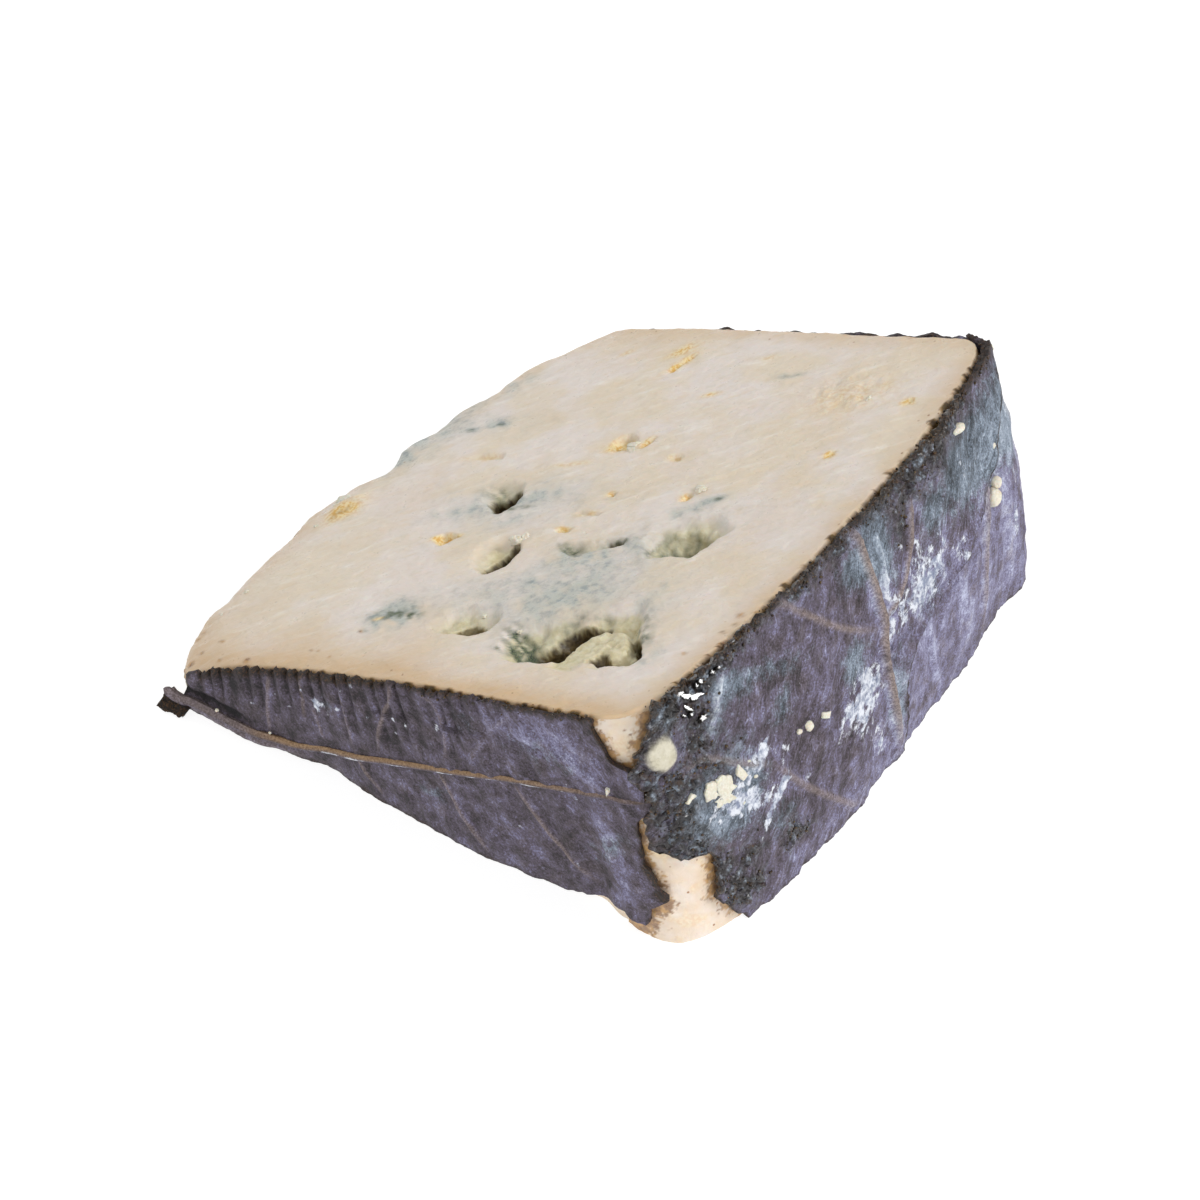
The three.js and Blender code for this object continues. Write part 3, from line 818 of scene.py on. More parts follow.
def marbled(radius, y, places, points, size, seed, even=0.5):
    """The patches together, broken up by noise of a size at points; even: how little they are."""
    total = sum(patch(radius, y, *form) * strength for *form, strength in places)
    uneven = even + 0.9 * rough(points, size, seed)
    return np.clip(total * np.clip(uneven, 0, 1.4) * 1.35, 0, 1)


def holes(radius, y, flat):
    """How deep the holes are, how much painted shade is in them, and how much of the tongue there is."""
    broad = [0.7 * noise(flat, 4.4, seed) for seed in (3, 9)]
    fine = [0.16 * rough(flat, 1.4, seed) for seed in (3, 9)]
    bent = radius + broad[0] + fine[0], y + broad[1] + fine[1]
    eased = radius + broad[0] + 0.15 * fine[0], y + broad[1] + 0.15 * fine[1]  # for the steepest walls
    depth = np.zeros_like(radius)
    dark = np.zeros_like(radius)
    for mouth in MOUTHS:
        share = bowl(edge_shares(*(eased if mouth.get("dark") else bent), mouth))
        depth += mouth["depth"] * share
        # painted shade inside the steepest holes, from just past the lip
        dark = np.maximum(dark, mouth.get("dark", 0) * smooth(share, 0, 0.14))
    tongue = smooth(edge_shares(*eased, TONGUE), 0, 0.8)
    curl = bowl(edge_shares(*eased, CURL))
    root = np.hypot(radius - TONGUE_ROOT[0], y - TONGUE_ROOT[1])
    bumpy = 0.5 * np.abs(rough(flat, 2.2, 21)) + 0.3 * np.abs(rough(flat, 1.1, 25))
    droop = 0.1 + TONGUE_SLOPE * root + bumpy + CURL["depth"] * curl
    depth = mix(depth, droop * smooth(root, 0, 2.5), tongue)
    # painted shade in the curl's hollow too, and none on the tongue
    dark = np.maximum(dark * (1 - tongue), 0.9 * smooth(curl, 0.1, 0.4))
    return depth, dark, 0.8 * tongue * smooth(root, 0, 4)


def leaf_stains(radius, y, flat, to_rim):
    """Brown stains along the edges of the upper face, by the leaves, but not at the near corner."""
    stain = smooth(to_rim + 1.2 * rough(flat, 2.4, 79) + 0.5 * rough(flat, 0.6, 83), 0.6, 0)
    to_side = np.minimum(y, WHEEL_HEIGHT - y)
    by_leaf = smooth(to_side + 0.7 * rough(flat, 2.4, 79, 2), 0.45, 0) * smooth(radius, 14, 24)
    stain = np.maximum(stain, by_leaf * np.where(y > WHEEL_HEIGHT / 2, 0.5, 1))
    return stain * smooth(np.hypot(radius - NEAR_CORNER[0], y - NEAR_CORNER[1]), 5, 8)


def top_height(radius, y, flat, border, depth, hollow):
    """Height of the upper face over its smooth form: waves, knife marks, holes, crumbs and a rounded edge."""
    waves = 0.24 * rough(flat, 17, 61) + 0.17 * rough(flat, 4.5, 63)
    drawn = flat_points(radius * KNIFE[0] + y * KNIFE[1], radius * KNIFE[1] - y * KNIFE[0])
    knife = 0.11 * rough(drawn, (16, 2.4, 1), 51, 2) + 0.05 * rough(drawn, (7, 1, 1), 55, 2)
    torn = smooth(patch(radius, y, *ROUGH_PATCH), 0.25, 0.6)
    crumbs = torn * (0.32 * rough(flat, 2.2, 71) + 0.2 * np.abs(rough(flat, 0.8, 73)))
    lumpy = hollow * 0.95 * np.abs(rough(flat, 4.4, 31, 1)) * smooth(depth, 0, 3)
    inward = EDGE_ROUND - np.minimum(border, EDGE_ROUND)
    rounding = EDGE_ROUND - np.sqrt(np.clip(EDGE_ROUND**2 - inward**2, 0, None))
    puff = 0.9 * patch(radius, y, *PUFF) * (1 + 0.5 * rough(flat, 1.6, 89))
    height = waves + knife * (1 - hollow) + crumbs - depth + lumpy - rounding + puff
    return np.maximum(height, -DEEPEST * np.maximum(radius, 0))


def top_relief(radius, y, border, to_rim):
    """Height of the upper face over its smooth form, with its marks.

    border: distance from its edge; to_rim: distance from the rim.
    """
    flat = flat_points(radius, y)
    depth, dark, tongue = holes(radius, y, flat)
    hollow = smooth(depth, 0.3, 1.6)
    toward, across = TO_VIEWER
    seen = flat_points(radius * -across + y * toward, 0.5 * (radius * toward + y * across))
    sunk = seen - np.array([0, 0, 1]) * depth[..., None]
    stain = leaf_stains(radius, y, flat, to_rim)
    cave = smooth(depth + 0.5 * rough(sunk, 2, 77), 0.3, 1.9) * 0.85
    # painted shade deep in the steepest holes
    shaft = smooth(dark + 0.04 * rough(sunk, 1.5, 75), 0.35, 1) * 0.95
    haze = marbled(radius, y, HAZES, seen, 3, 81, 0.6) + 0.6 * marbled(radius, y, MISTS, seen, 7, 67, 1)
    golden = marbled(radius, y, GOLDS, sunk, 1.8, 85, 1) + 0.9 * patch(radius, y, *YELLOW)
    # a warm tint toward the edges and the near side; its darker tan also stands in as painted shade at the
    # front
    warm = 0.6 * smooth(border, 7, 0) + 0.6 * smooth(y + 0.1 * radius, 22, 6) + 0.3 * noise(flat, 14, 95)
    marks = {
        "hollow": hollow,
        "cave": np.maximum(cave, tongue),
        # deep and dark: painted shade in the steepest holes; dark also takes the darkest leaf stains
        "deep": smooth(dark + 0.05 * rough(sunk, 1.5, 75), 0.05, 0.5) * 0.85,
        "dark": np.maximum(shaft, 0.9 * smooth(stain, 0.6, 1)),
        "rust": np.clip(marbled(radius, y, RUSTS, seen, 0.7, 87, 0.9) + stain, 0, 1),
        "blue": np.clip(haze, 0, 1) * (1 - 0.5 * hollow),
        "gold": np.clip(golden, 0, 1),
        "mould": marbled(radius, y, MOULDS, sunk, 1.1, 91),
        "warm": np.clip(warm, 0, 1) * (1 - hollow),
        "specks": np.clip(smooth(border, 7, 0.6) - 0.1, 0, 1) * smooth(noise(flat, 5, 97), -0.3, 0.3),
    }
    return top_height(radius, y, flat, border, depth, hollow), marks


def grid_normals(points):
    """The way out of a grid of points."""
    return unit(np.cross(np.gradient(points, axis=0), np.gradient(points, axis=1)))


def spread(count, dense, share):
    """Numbers from 0 to 1, with a share of them between the two numbers of dense."""
    low, high = dense
    inner = round(count * share)
    below = round((count - inner) * low / (low + 1 - high))
    parts = [np.linspace(0, low, below, endpoint=False), np.linspace(low, high, inner, endpoint=False)]
    return np.concatenate([*parts, np.linspace(high, 1, count - below - inner)])


def softened(values):
    """A grid of numbers, each drawn towards its neighbours."""
    for _ in range(4):
        edged = np.pad(values, ((1, 1), (0, 0)), mode="edge")
        values = ((edged[:-2] + 2 * values + edged[2:]) / 4).T
    return values


TOP_COLUMNS = 268
TOP_ROWS = 262
SKIRT_RINGS = 22


def cut_face():
    """The upper face as a grid that is finest round the holes: its shares, points, height and marks."""
    shares = spread(TOP_COLUMNS, (0.22, 0.95), 0.84), spread(TOP_ROWS, (0, 0.6), 0.72)
    u, v = np.meshgrid(*shares, indexing="ij")
    radius, y = inside_plan(u, v, np.ones_like(u))
    width = SHOULDER_RADIUS - thin_edge(y)
    border = np.minimum(np.minimum(u, 1 - u) * width, np.minimum(v, 1 - v) * WHEEL_HEIGHT)
    height, marks = top_relief(radius, y, border, (1 - u) * width)
    smoothed = softened(height)
    away = TO_VIEWER[0] * np.gradient(smoothed, axis=0) / np.gradient(radius, axis=0)
    away += TO_VIEWER[1] * np.gradient(smoothed, axis=1) / np.gradient(y, axis=1)
    hidden = softened(np.clip(3 * marks["hollow"], 0, 1) * smooth(away, 0.4, 1.2))  # walls that face away
    height = mix(height, smoothed, hidden)
    for key in ("cave", "deep", "dark"):
        marks[key] = mix(marks[key], softened(marks[key]), hidden)
    top = on_top(radius, y, height)
    lump = 0.7 * rough(top, 2.6, 41, 2) + 0.12 * rough(top, 0.9, 45, 2)
    top = top + (marks.pop("hollow") * lump)[..., None] * grid_normals(top)
    return u, v, top, height, marks


def skirt_ring(u, v, dip, share):
    """Points and marks of one ring round the cheese's sides, which is so far up."""
    up = share * np.ones_like(u)
    side = place(*inside_plan(u, v, up), up) + (dip * up**6)[:, None] * UPWARD
    broken = smooth(u, 0.001, 0)  # 1 on the thin edge
    off_floor = smooth(up, 0, 0.1)
    side[:, 0] += broken * (0.5 * rough(side, 3.2, 101) + 0.2 * rough(side, 1, 103)) * off_floor
    side[:, 1] += (1 - broken) * 0.15 * rough(side, 3, 105) * off_floor
    side[:, 2] = np.maximum(side[:, 2], 0)
    flat = side[:, [1, 2, 0]]
    none = dict.fromkeys(("mould", "deep", "dark", "rust"), 0 * up)
    return side, none | {
        "cave": broken * 0.6 * smooth(rough(flat, 4, 107), -0.1, 0.3),
        "blue": broken * 0.9 * smooth(rough(flat, 5, 109), -0.1, 0.4),
        "gold": (1 - broken) * 0.3 * smooth(rough(flat, 2, 111), 0.25, 0.5),
        "warm": 0.3 + 0.3 * smooth(noise(flat, 6, 113), -0.3, 0.4),
        "specks": (1 - broken) * smooth(noise(flat, 4, 115), -0.1, 0.4) * 0.8,
    }


def paste(material):
    """The cheese itself: its upper face, its sides down to the floor, and its flat foot."""
    u, v, top, height, marks = cut_face()
    index = np.arange(u.size).reshape(u.shape)
    upper = loop = grid_border(index)
    edge = [values.ravel()[loop] for values in (u, v, height)]
    points, faces = [top.reshape(-1, 3)], grid_faces(index).tolist()
    values = {key: [value.ravel()] for key, value in marks.items()}
    for ring in range(SKIRT_RINGS):
        side, side_marks = skirt_ring(*edge, 1 - (ring + 1) / SKIRT_RINGS)
        lower = u.size + ring * len(loop) + np.arange(len(loop))
        points.append(side)
        faces += wall_faces(upper, lower).tolist()
        for key, value in side_marks.items():
            values[key].append(value)
        upper = lower
    faces.append(upper[::-1].tolist())
    marks = {key: np.concatenate(value) for key, value in values.items()}
    return make("cheese", np.concatenate(points), faces, material, marks, ["paste"], 180)


def bare_rind(material):
    """The rind round the near rounded edge, which shows between the leaves."""
    along, up = grid(lambda up: 81 + 0 * up, lambda up: 102 + 0 * up, 105, 200, 0.003, 0.985)
    even = on_rind(along, up)
    off = 0.4 * smooth(up, 0.985, 0.95) + 0.14 * rough(even, 2.6, 161) + 0.05 * rough(even, 0.8, 163)
    outer, inner = on_rind(along, up, off), on_rind(along, up, -0.4 + 0 * off)
    gone = np.minimum(along - near_end(up), rim_start(up) - along)
    rust = smooth(gone + 1.1 * rough(even, 1.6, 165) + 1.3 * rough(even, 0.5, 167), 1.3, 0.2) * 0.8
    marks = {
        "warm": 0.3 + 0.4 * rough(even, 5, 169),
        "rust": np.clip(rust, 0, 0.9),
        "specks": smooth(noise(even, 3, 171), -0.3, 0.3),
        "gold": 0.25 * smooth(rough(even, 4, 173), 0, 0.4),
    }
    points, faces, marks = sheet(outer, inner, marks)
    return make("bare_rind", points, faces, material, marks)


# ---------------------------------------------------------------- the leaves

def rounded_line(stops, count=28):
    """A smooth line through stops, as count points."""
    stops = np.array(stops, float)
    padded = np.concatenate([[2 * stops[0] - stops[1]], stops, [2 * stops[-1] - stops[-2]]])
    at = np.linspace(0, len(stops) - 1, count)
    i = np.minimum(at.astype(int), len(stops) - 2)
    t = (at - i)[:, None]
    a, b, c, d = (padded[i + k] for k in range(4))
    return 0.5 * (2 * b + (c - a) * t + (2 * a - 5 * b + 4 * c - d) * t**2 + (3 * b - a - 3 * c + d) * t**3)


def nearest(points, line):
    """How far each point is from a line of points, and the share of the way along the line to it."""
    best = np.full(points.shape[:-1], np.inf)
    share = np.zeros(points.shape[:-1])
    for i, (a, b) in enumerate(zip(line, line[1:])):
        step = b - a
        t = np.clip(((points - a) @ step) / (step @ step), 0, 1)
        distance = np.linalg.norm(points - a - t[..., None] * step, axis=-1)
        closer = distance < best
        best[closer] = distance[closer]
        share[closer] = ((i + t) / (len(line) - 1))[closer]
    return best, share


# Veins: the stops are (along, up); wide and high in millimetres, tan from 0 (leaf-coloured) to 1.
MIDRIB = [
    (-2.6, 0.9), (-1, 0.52), (7, 0.24), (18, 0.17), (27, 0.26), (40, 0.42), (60, 0.56), (76, 0.62),
    (82, 0.65), (near_shoulder, 0.67), (92, 0.7), (93.6, 0.76),
]
NEAR_VEINS = [
    dict(stops=[(17.6, 0.98), (16.1, 0.6), (15.5, 0.22)], wide=0.3, high=0.28, tan=0.45),
    dict(stops=[(24.6, 1), (23.6, 0.85), (23.1, 0.5)], wide=0.26, high=0.25, tan=0.4),
    dict(stops=[(25.3, 0.7), (26, 0.36)], wide=0.22, high=0.2, tan=0.4),
    dict(stops=[(31.6, 0.9), (32, 0.68), (31.9, 0.42)], wide=0.25, high=0.2, tan=0.4),
    dict(stops=[(43.4, 1), (42.8, 0.94), (39.9, 0.78), (38, 0.63), (36.7, 0.42)], wide=0.28, high=0.3,
        tan=0.5),
    dict(stops=[(48.3, 1), (51.7, 0.9), (51.3, 0.7), (50, 0.54)], wide=0.25, high=0.22, tan=0.35),
    dict(stops=[(67.2, 0.96), (61.7, 0.85), (56.6, 0.67), (55.6, 0.55)], wide=0.3, high=0.2, tan=0.15),
    dict(stops=[(-0.5, 0.3), (5, 0.1), (14, 0.05), (24, 0.1)], wide=0.8, high=0.5, tan=0.35),
    dict(stops=[(32, 0.36), (34.3, 0.19), (37, 0.06)], wide=0.3, high=0.25, tan=0.5),
    dict(stops=[(48.6, 0.47), (52.2, 0.23), (57, 0.04)], wide=0.3, high=0.3, tan=0.6),
    dict(stops=[(63, 0.56), (66.8, 0.36), (70.6, 0.23), (76, 0.1)], wide=0.3, high=0.3, tan=0.65),
    dict(stops=[(57.5, 0.91), (71.2, 0.83), (79.3, 0.71), (82.5, 0.65)], wide=1, high=0.35, tan=0,
        bloom=0.25),
    dict(stops=[(77.6, 0.56), (79.5, 0.29), (82.7, 0.12)], wide=0.9, high=0.3, tan=0, bloom=0.3),
    dict(stops=[(70, 0.98), (77, 0.86), (82, 0.74)], wide=0.7, high=0.2, tan=0, bloom=0.25),
]
RIM_VEINS = [
    dict(stops=[(136.2, 1), (137.7, 0.94), (137.6, 0.84), (138, 0.74), (138.1, 0.62), (137, 0.53),
        (137.1, 0.42), (137.7, 0.28), (138.8, 0.12), (139.1, 0)], wide=0.62, high=0.9, tan=0.95,
        bloom=0.45),
    dict(stops=[(152, 0.9), (150.4, 0.83), (148.4, 0.77), (144.8, 0.69), (140.1, 0.63), (138.2, 0.6)],
        wide=0.45, high=0.6, tan=0.9, bloom=0.4),
    dict(stops=[(117, 1), (118.9, 0.97), (123.5, 0.86), (128.1, 0.75), (132.5, 0.67), (137, 0.6)],
        wide=0.45, high=0.4, tan=0.7),
    dict(stops=[(108, 0.52), (112.9, 0.36), (117.3, 0.24), (123.6, 0.09), (127.2, 0.02)], wide=0.5,
        high=0.45, tan=0.55),
    dict(stops=[(92.5, 0.74), (97, 0.71), (103, 0.6), (108, 0.52)], wide=0.5, high=0.4, tan=0.6),
    dict(stops=[(141.5, 0.92), (141, 0.8), (139.5, 0.66)], wide=0.3, high=0.35, tan=0, bloom=0.6),
    dict(stops=[(104, 0.96), (102.6, 0.9), (99, 0.8), (96, 0.72)], wide=0.35, high=0.3, tan=0, bloom=0.6),
]
FAR_RIM_VEINS = [
    dict(stops=[(173.5, 0.7), (170.8, 0.48), (169.2, 0.39), (168.3, 0.25), (168.5, 0)], wide=0.6, high=0.5,
        tan=0.6),
    dict(stops=[(150, 0.4), (151, 0.25), (154, 0.04)], wide=0.7, high=0.3, tan=0, bloom=0.3),
    dict(stops=[(160, 0.46), (161, 0.3), (163, 0.04)], wide=0.8, high=0.3, tan=0, bloom=0.3),
    dict(stops=[(178, 0.7), (178, 0.4), (179, 0.04)], wide=0.7, high=0.3, tan=0, bloom=0.3),
    dict(stops=[(186, 0.95), (186, 0.5), (187, 0.04)], wide=0.5, high=0.35, tan=0.3),
]
FAR_VEINS = [
    dict(stops=[(258, 0.5), (240, 0.5), (220, 0.54), (205, 0.6), (197, 0.64)], wide=0.8, high=0.8,
        tan=0.9),
    dict(stops=[(240, 0.5), (232, 0.8), (228, 1)], wide=0.35, high=0.3, tan=0.7),
    dict(stops=[(244, 0.5), (238, 0.25), (234, 0.02)], wide=0.35, high=0.3, tan=0.7),
    dict(stops=[(226, 0.52), (216, 0.78), (211, 1)], wide=0.35, high=0.3, tan=0.7),
    dict(stops=[(228, 0.52), (219, 0.26), (214, 0.02)], wide=0.35, high=0.3, tan=0.7),
    dict(stops=[(210, 0.57), (203, 0.8), (200, 1)], wide=0.35, high=0.3, tan=0.6),
    dict(stops=[(211, 0.57), (204, 0.3), (200, 0.04)], wide=0.35, high=0.3, tan=0.6),
]

# Patches on the leaves: (along, up), (half length, half height in millimetres), turn, strength.
POWDERS = [  # white powder on the rim
    ((101, 0.5), (7, 6), 0, 0.4), ((151, 0.62), (9, 5), 0, 0.5), ((130.4, 0.38), (3.8, 6), 0, 0.85),
    ((133.4, 0.2), (2, 4), 10, 0.5), ((120, 0.7), (14, 8), 0, 0.16), ((172, 0.5), (10, 10), 0, 0.2),
    ((129.8, 0.44), (4.6, 3.6), 40, 1), ((124.4, 0.42), (3, 2), 30, 0.7),
    ((133.6, 0.46), (1.8, 3.4), 20, 0.8), ((133.8, 0.16), (1, 3.4), 0, 0.75),
    ((148, 0.6), (2.2, 4.4), -25, 1), ((153, 0.57), (2.6, 3.6), -30, 1.1),
    ((143, 0.6), (1.8, 4.4), -10, 0.95), ((160.8, 0.56), (1.6, 2), 0, 1),
    ((161.6, 0.5), (0.9, 1.4), 0, 0.9), ((98.4, 0.5), (3.6, 2), 0, 1),
    ((103.6, 0.44), (4.6, 2.4), -30, 0.85), ((106.6, 0.36), (6, 0.8), 44, 1.2),
    ((109.6, 0.41), (2, 1.4), 0, 0.9), ((107.4, 0.6), (2.8, 1.6), 40, 0.8),
    ((111, 0.52), (2.4, 1.8), 50, 0.75), ((104.4, 0.57), (2.6, 1.4), 30, 0.7),
    ((114.7, 0.35), (1.2, 1), 0, 0.9), ((140.2, 0.66), (0.8, 5), -8, 0.9), ((139.2, 0.55), (0.6, 3), 0, 1),
    ((157, 0.66), (0.9, 1.6), 0, 0.8), ((180.4, 0.34), (0.8, 4.6), 0, 0.9),
    ((182.4, 0.52), (0.8, 3), 0, 0.7), ((166, 0.8), (1, 2.6), 0, 0.6), ((95, 0.97), (2, 1.4), 0, 0.3),
    ((172, 0.78), (1.4, 1.4), 0, 0.5), ((150, 0.76), (1, 2.4), -20, 0.6), ((138.6, 0.25), (0.9, 5), 0, 0.6),
    ((117, 0.66), (1.6, 1.2), 30, 0.35), ((99, 0.34), (2, 1.2), 20, 0.5), ((90.6, 0.93), (2.2, 1), 0, 0.7),
    ((93, 0.82), (0.8, 2), 0, 0.5), ((151, 0.86), (1.6, 1), 0, 0.7), ((158, 0.84), (1, 1.4), 0, 0.6),
    ((127, 0.9), (0.6, 0.6), 0, 0.8), ((122, 0.82), (0.5, 0.5), 0, 0.7), ((111, 0.86), (0.5, 0.4), 0, 0.7),
    ((162, 0.72), (1, 1.6), 0, 0.6), ((146, 0.8), (0.7, 1.2), 0, 0.7), ((118.4, 0.44), (0.7, 0.5), 0, 0.7),
]
FILMS = [  # blue-grey film
    ((103.5, 0.9), (5, 2.4), -30, 0.8), ((100, 0.82), (3, 2), 30, 0.6), ((113, 0.82), (7, 2), -20, 0.5),
    ((141, 0.87), (4, 8), -10, 0.95), ((134.7, 0.87), (3.6, 3), 0, 0.8),
    ((129.5, 0.58), (3.6, 3.6), 45, 0.9), ((103.2, 0.53), (4, 3), 30, 0.8), ((93.6, 0.56), (4, 5), 0, 0.9),
    ((92, 0.94), (3, 3), 0, 0.6), ((98, 0.44), (6, 4), 0, 0.7), ((174, 0.78), (9, 7), 0, 1),
    ((184, 0.76), (5, 8), 0, 1), ((165, 0.8), (5, 5), 0, 0.8), ((156, 0.78), (4, 4), 0, 0.7),
    ((150, 0.56), (6, 6), 0, 0.5), ((108, 0.3), (5, 4), 0, 0.5), ((113, 0.68), (3.4, 2.4), 40, 0.6),
    ((139, 0.3), (3, 9), 0, 0.6), ((101, 0.66), (5, 4), 0, 0.5),
]
DAMPS = [  # dark, wet and lumpy
    ((98.2, 0.13), (3, 3.4), 20, 1.4), ((94.8, 0.3), (1.8, 3), 0, 1.2),
    ((111.5, 0.18), (3.6, 1.3), -24, 1.3), ((110.4, 1), (4, 2), 0, 1.1), ((123, 1), (6.5, 2.4), 0, 1.1),
    ((133.6, 0.98), (3, 2), 0, 1.1), ((94, 0.97), (4.6, 3.4), 0, 1.3), ((99.6, 0.98), (4, 2.4), 0, 1.2),
    ((105, 0.97), (2.6, 1.4), 0, 0.8), ((91, 0.72), (5, 5), 0, 1), ((89, 0.85), (2.4, 5), 0, 1.1),
    ((90.6, 0.42), (4, 3.4), 0, 1), ((90, 0.56), (3.4, 4), 0, 0.9), ((97, 0.8), (3.6, 3), 0, 0.7),
    ((99, 0.68), (4, 2.4), 0, 0.55), ((109.2, 0.2), (1.8, 3.6), 0, 1.1), ((100.6, 0.27), (2.2, 2), 0, 0.9),
    ((101.4, 0.13), (2.4, 1.6), 0, 0.9), ((96.2, 0.2), (1.8, 3.4), 0, 0.9),
    ((155.6, 0.96), (6.5, 3.6), 0, 1.5), ((163.4, 0.98), (4, 1.8), 0, 1.2), ((145, 0.99), (4, 1.8), 0, 1),
    ((147.4, 0.86), (2.6, 4), 0, 0.45), ((170.8, 0.99), (2.6, 1.2), 0, 1.1), ((98.6, 0.86), (3, 2), 0, 0.5),
]
CREAMS = [((90.7, 0.84), (1.8, 2.7), 0, 1.5)]  # soaked through with paste
NEAR_FILMS = [  # on the near leaf
    ((80, 0.4), (3, 7), -50, 0.35), ((74, 0.74), (5, 3), 0, 0.25), ((68, 0.8), (6, 2.4), 10, 0.25),
    ((47, 0.3), (3, 1.4), 0, 0.5), ((57, 0.86), (3, 2), 0, 0.3), ((28, 0.76), (2, 1.4), 0, 0.4),
]
SPECKLES = [  # small white spots on the near leaf
    ((26.8, 0.73), (1.6, 1.1), -40, 1.5), ((30.6, 0.75), (0.5, 0.35), 0, 1.3),
    ((36.6, 0.74), (0.55, 0.5), 0, 1.4), ((41.6, 0.76), (0.5, 0.45), 30, 1.3),
    ((43.9, 0.74), (0.45, 0.4), 0, 1.3), ((41.6, 0.66), (0.5, 0.25), 0, 1.1),
    ((16.5, 0.86), (0.3, 0.9), 0, 1.3), ((18, 0.76), (0.4, 0.3), 0, 1.2), ((32.6, 0.9), (0.3, 0.6), 0, 1.1),
    ((34.9, 0.96), (0.4, 0.4), 0, 1.1), ((24, 0.86), (0.5, 0.3), 30, 1),
    ((73.4, 0.64), (0.6, 0.55), 0, 1.6), ((74.6, 0.58), (0.5, 0.5), 0, 1.5),
    ((63, 0.3), (0.7, 0.4), 0, 0.8), ((72.5, 0.2), (0.9, 0.4), -40, 1), ((50.5, 0.78), (0.5, 1), -40, 0.8),
    ((20.6, 0.66), (0.3, 0.3), 0, 1.1), ((13.4, 0.6), (0.5, 0.25), 0, 1.1), ((22, 0.5), (0.3, 0.3), 0, 1),
    ((46.5, 0.6), (0.3, 0.3), 0, 1), ((56, 0.34), (0.35, 0.3), 0, 1),
]


def rind_height(along, up):
    """The whole way up the rind, in millimetres."""
    return WEDGE_ANGLE * np.clip(rind_plan(along, up)[0], NEAR_TIP, None)


def rind_patch(along, up, at, size, turn):
    """An oval on the rind. turn: from the way along towards the way up."""
    return oval(along - at[0], (up - at[1]) * rind_height(along, up), size, turn)


def slack(along):
    """How loosely the leaves turn round the near rounded edge."""
    return SHOULDER_SLACK * hill(along, near_shoulder, SLACK_REACH)


def slow_wave(along):
    """How far the leaves on the rim stand off in slow waves."""
    return WAVE_DEPTH * np.sin(np.pi * along / WAVE_LENGTH) ** 2 + slack(along)


def patches(along, up, places):
    """The patches together, for places on the rind."""
    ovals = (rind_patch(along, up, *form) * strength for *form, strength in places)
    return sum(ovals, 0 * along)


def raised_veins(veins, even, pale):
    """How high the veins stand on a flat leaf, how tan they are, and how pale the leaf is with them."""
    height, tan = np.zeros_like(pale), np.zeros_like(pale)
    for vein in veins:
        stops = rounded_line(vein["stops"])
        distance, share = nearest(even, on_rind(stops[:, 0], stops[:, 1], LEAF_TOP))
        distance = distance / vein["wide"]
        fading = smooth(share, 1.02, 0.75) * smooth(share, -0.02, 0.1)
        height += vein["high"] * (hill(distance, 0, 1) - 0.25 * hill(distance, 2.2, 1)) * fading
        tan += vein["tan"] * np.exp(-((0.85 * distance) ** 4)) * fading
        pale = pale + vein.get("bloom", 0.2) * hill(distance, 0, 2.4) * fading
    return height, np.clip(tan, 0, 1), pale


def leaf(along, up, off, rise, bloom, nap, torn, veins, powders=(), films=(), damps=(), creams=(),
         crease=0, edge=1, crumple=0.2):
    """Points, faces and marks of a leaf: a thin closed sheet over a grid of places on the rind.

    off: how far its outer face stands off the rind; rise: how far the place is lifted; bloom: how pale it is;
    nap: which way its fibres run, in degrees from along the rind towards the way up, how fine they are across
    and along, and how much they show; torn: distance from its torn ends; crease: how much painted shade
    darkens the bottoms of its folds and the hollow behind the stalk; edge: how far its upper edge is browned;
    crumple: how high its wrinkles are.
    """
    way, finer_across, finer_along, hairy = nap
    turn = math.radians(way)
    base = on_rind(along, up, off)
    whole = rind_height(along, up)
    height = up * whole
    across = height * math.cos(turn) - along * math.sin(turn)
    fibre = np.stack([across, along * math.cos(turn) + height * math.sin(turn), 0 * along], -1)
    relief, vein, pale = raised_veins(veins, on_rind(along, up, LEAF_TOP), bloom)
    powder = patches(along, up, powders) * np.clip(0.75 + 0.8 * rough(base, 1.5, 121), 0.1, 1.5)
    cream = np.clip(patches(along, up, creams), 0, 1)
    damp = np.clip(patches(along, up, damps) * (0.9 + 0.9 * rough(base, 1.6, 123)), 0, 1) * (1 - cream)
    relief += 1.3 * smooth(cream, 0.15, 0.9)
    wrinkles = crumple * rough(fibre, (1.8, 9, 1), 131)
    relief += wrinkles + 0.22 * rough(base, 6, 135) + 0.06 * rough(base, 0.9, 137)
    relief += 0.14 * np.clip(powder, 0, 1) * (1 + rough(base, 0.8, 141))
    relief += damp * (1.5 * np.abs(rough(base, 2.1, 143, 2)) + 0.3 * np.abs(rough(base, 0.8, 145, 1)) - 0.2)
    outer = on_rind(along, up, off + relief)
    inner = on_rind(along, up, np.maximum(off + relief - LEAF, -SUNK))
    for side in (outer, inner):
        side[..., 2] += rise
    below_top = (1 - up) * whole + 0.5 * rough(base, 1.3, 147) + 0.9 * noise(base, 7, 153)
    frayed = smooth(torn + 0.5 * rough(base, 1.2, 149), 0.7, 0.1)
    by_floor = 0.8 * smooth(height + 0.5 * rough(base, 1.6, 155), 0.7, 0.1)
    return sheet(outer, inner, {
        # bloom, with crease's painted shade taken off
        "bloom": pale + 0.16 * rough(base, 6, 151) - crease,
        "vein": vein,
        "powder": np.clip(powder, 0, 1.2),
        "film": np.clip(patches(along, up, films), 0, 1),
        "edge": np.maximum.reduce([smooth(below_top, edge, 0), frayed, by_floor]) * 0.9,
        "damp": damp,
        "cream": cream,
        "gold": 0 * along,
        "hairy": 0 * along + hairy,
        "fibre": fibre * np.array([finer_across, finer_along, 1]),
    })


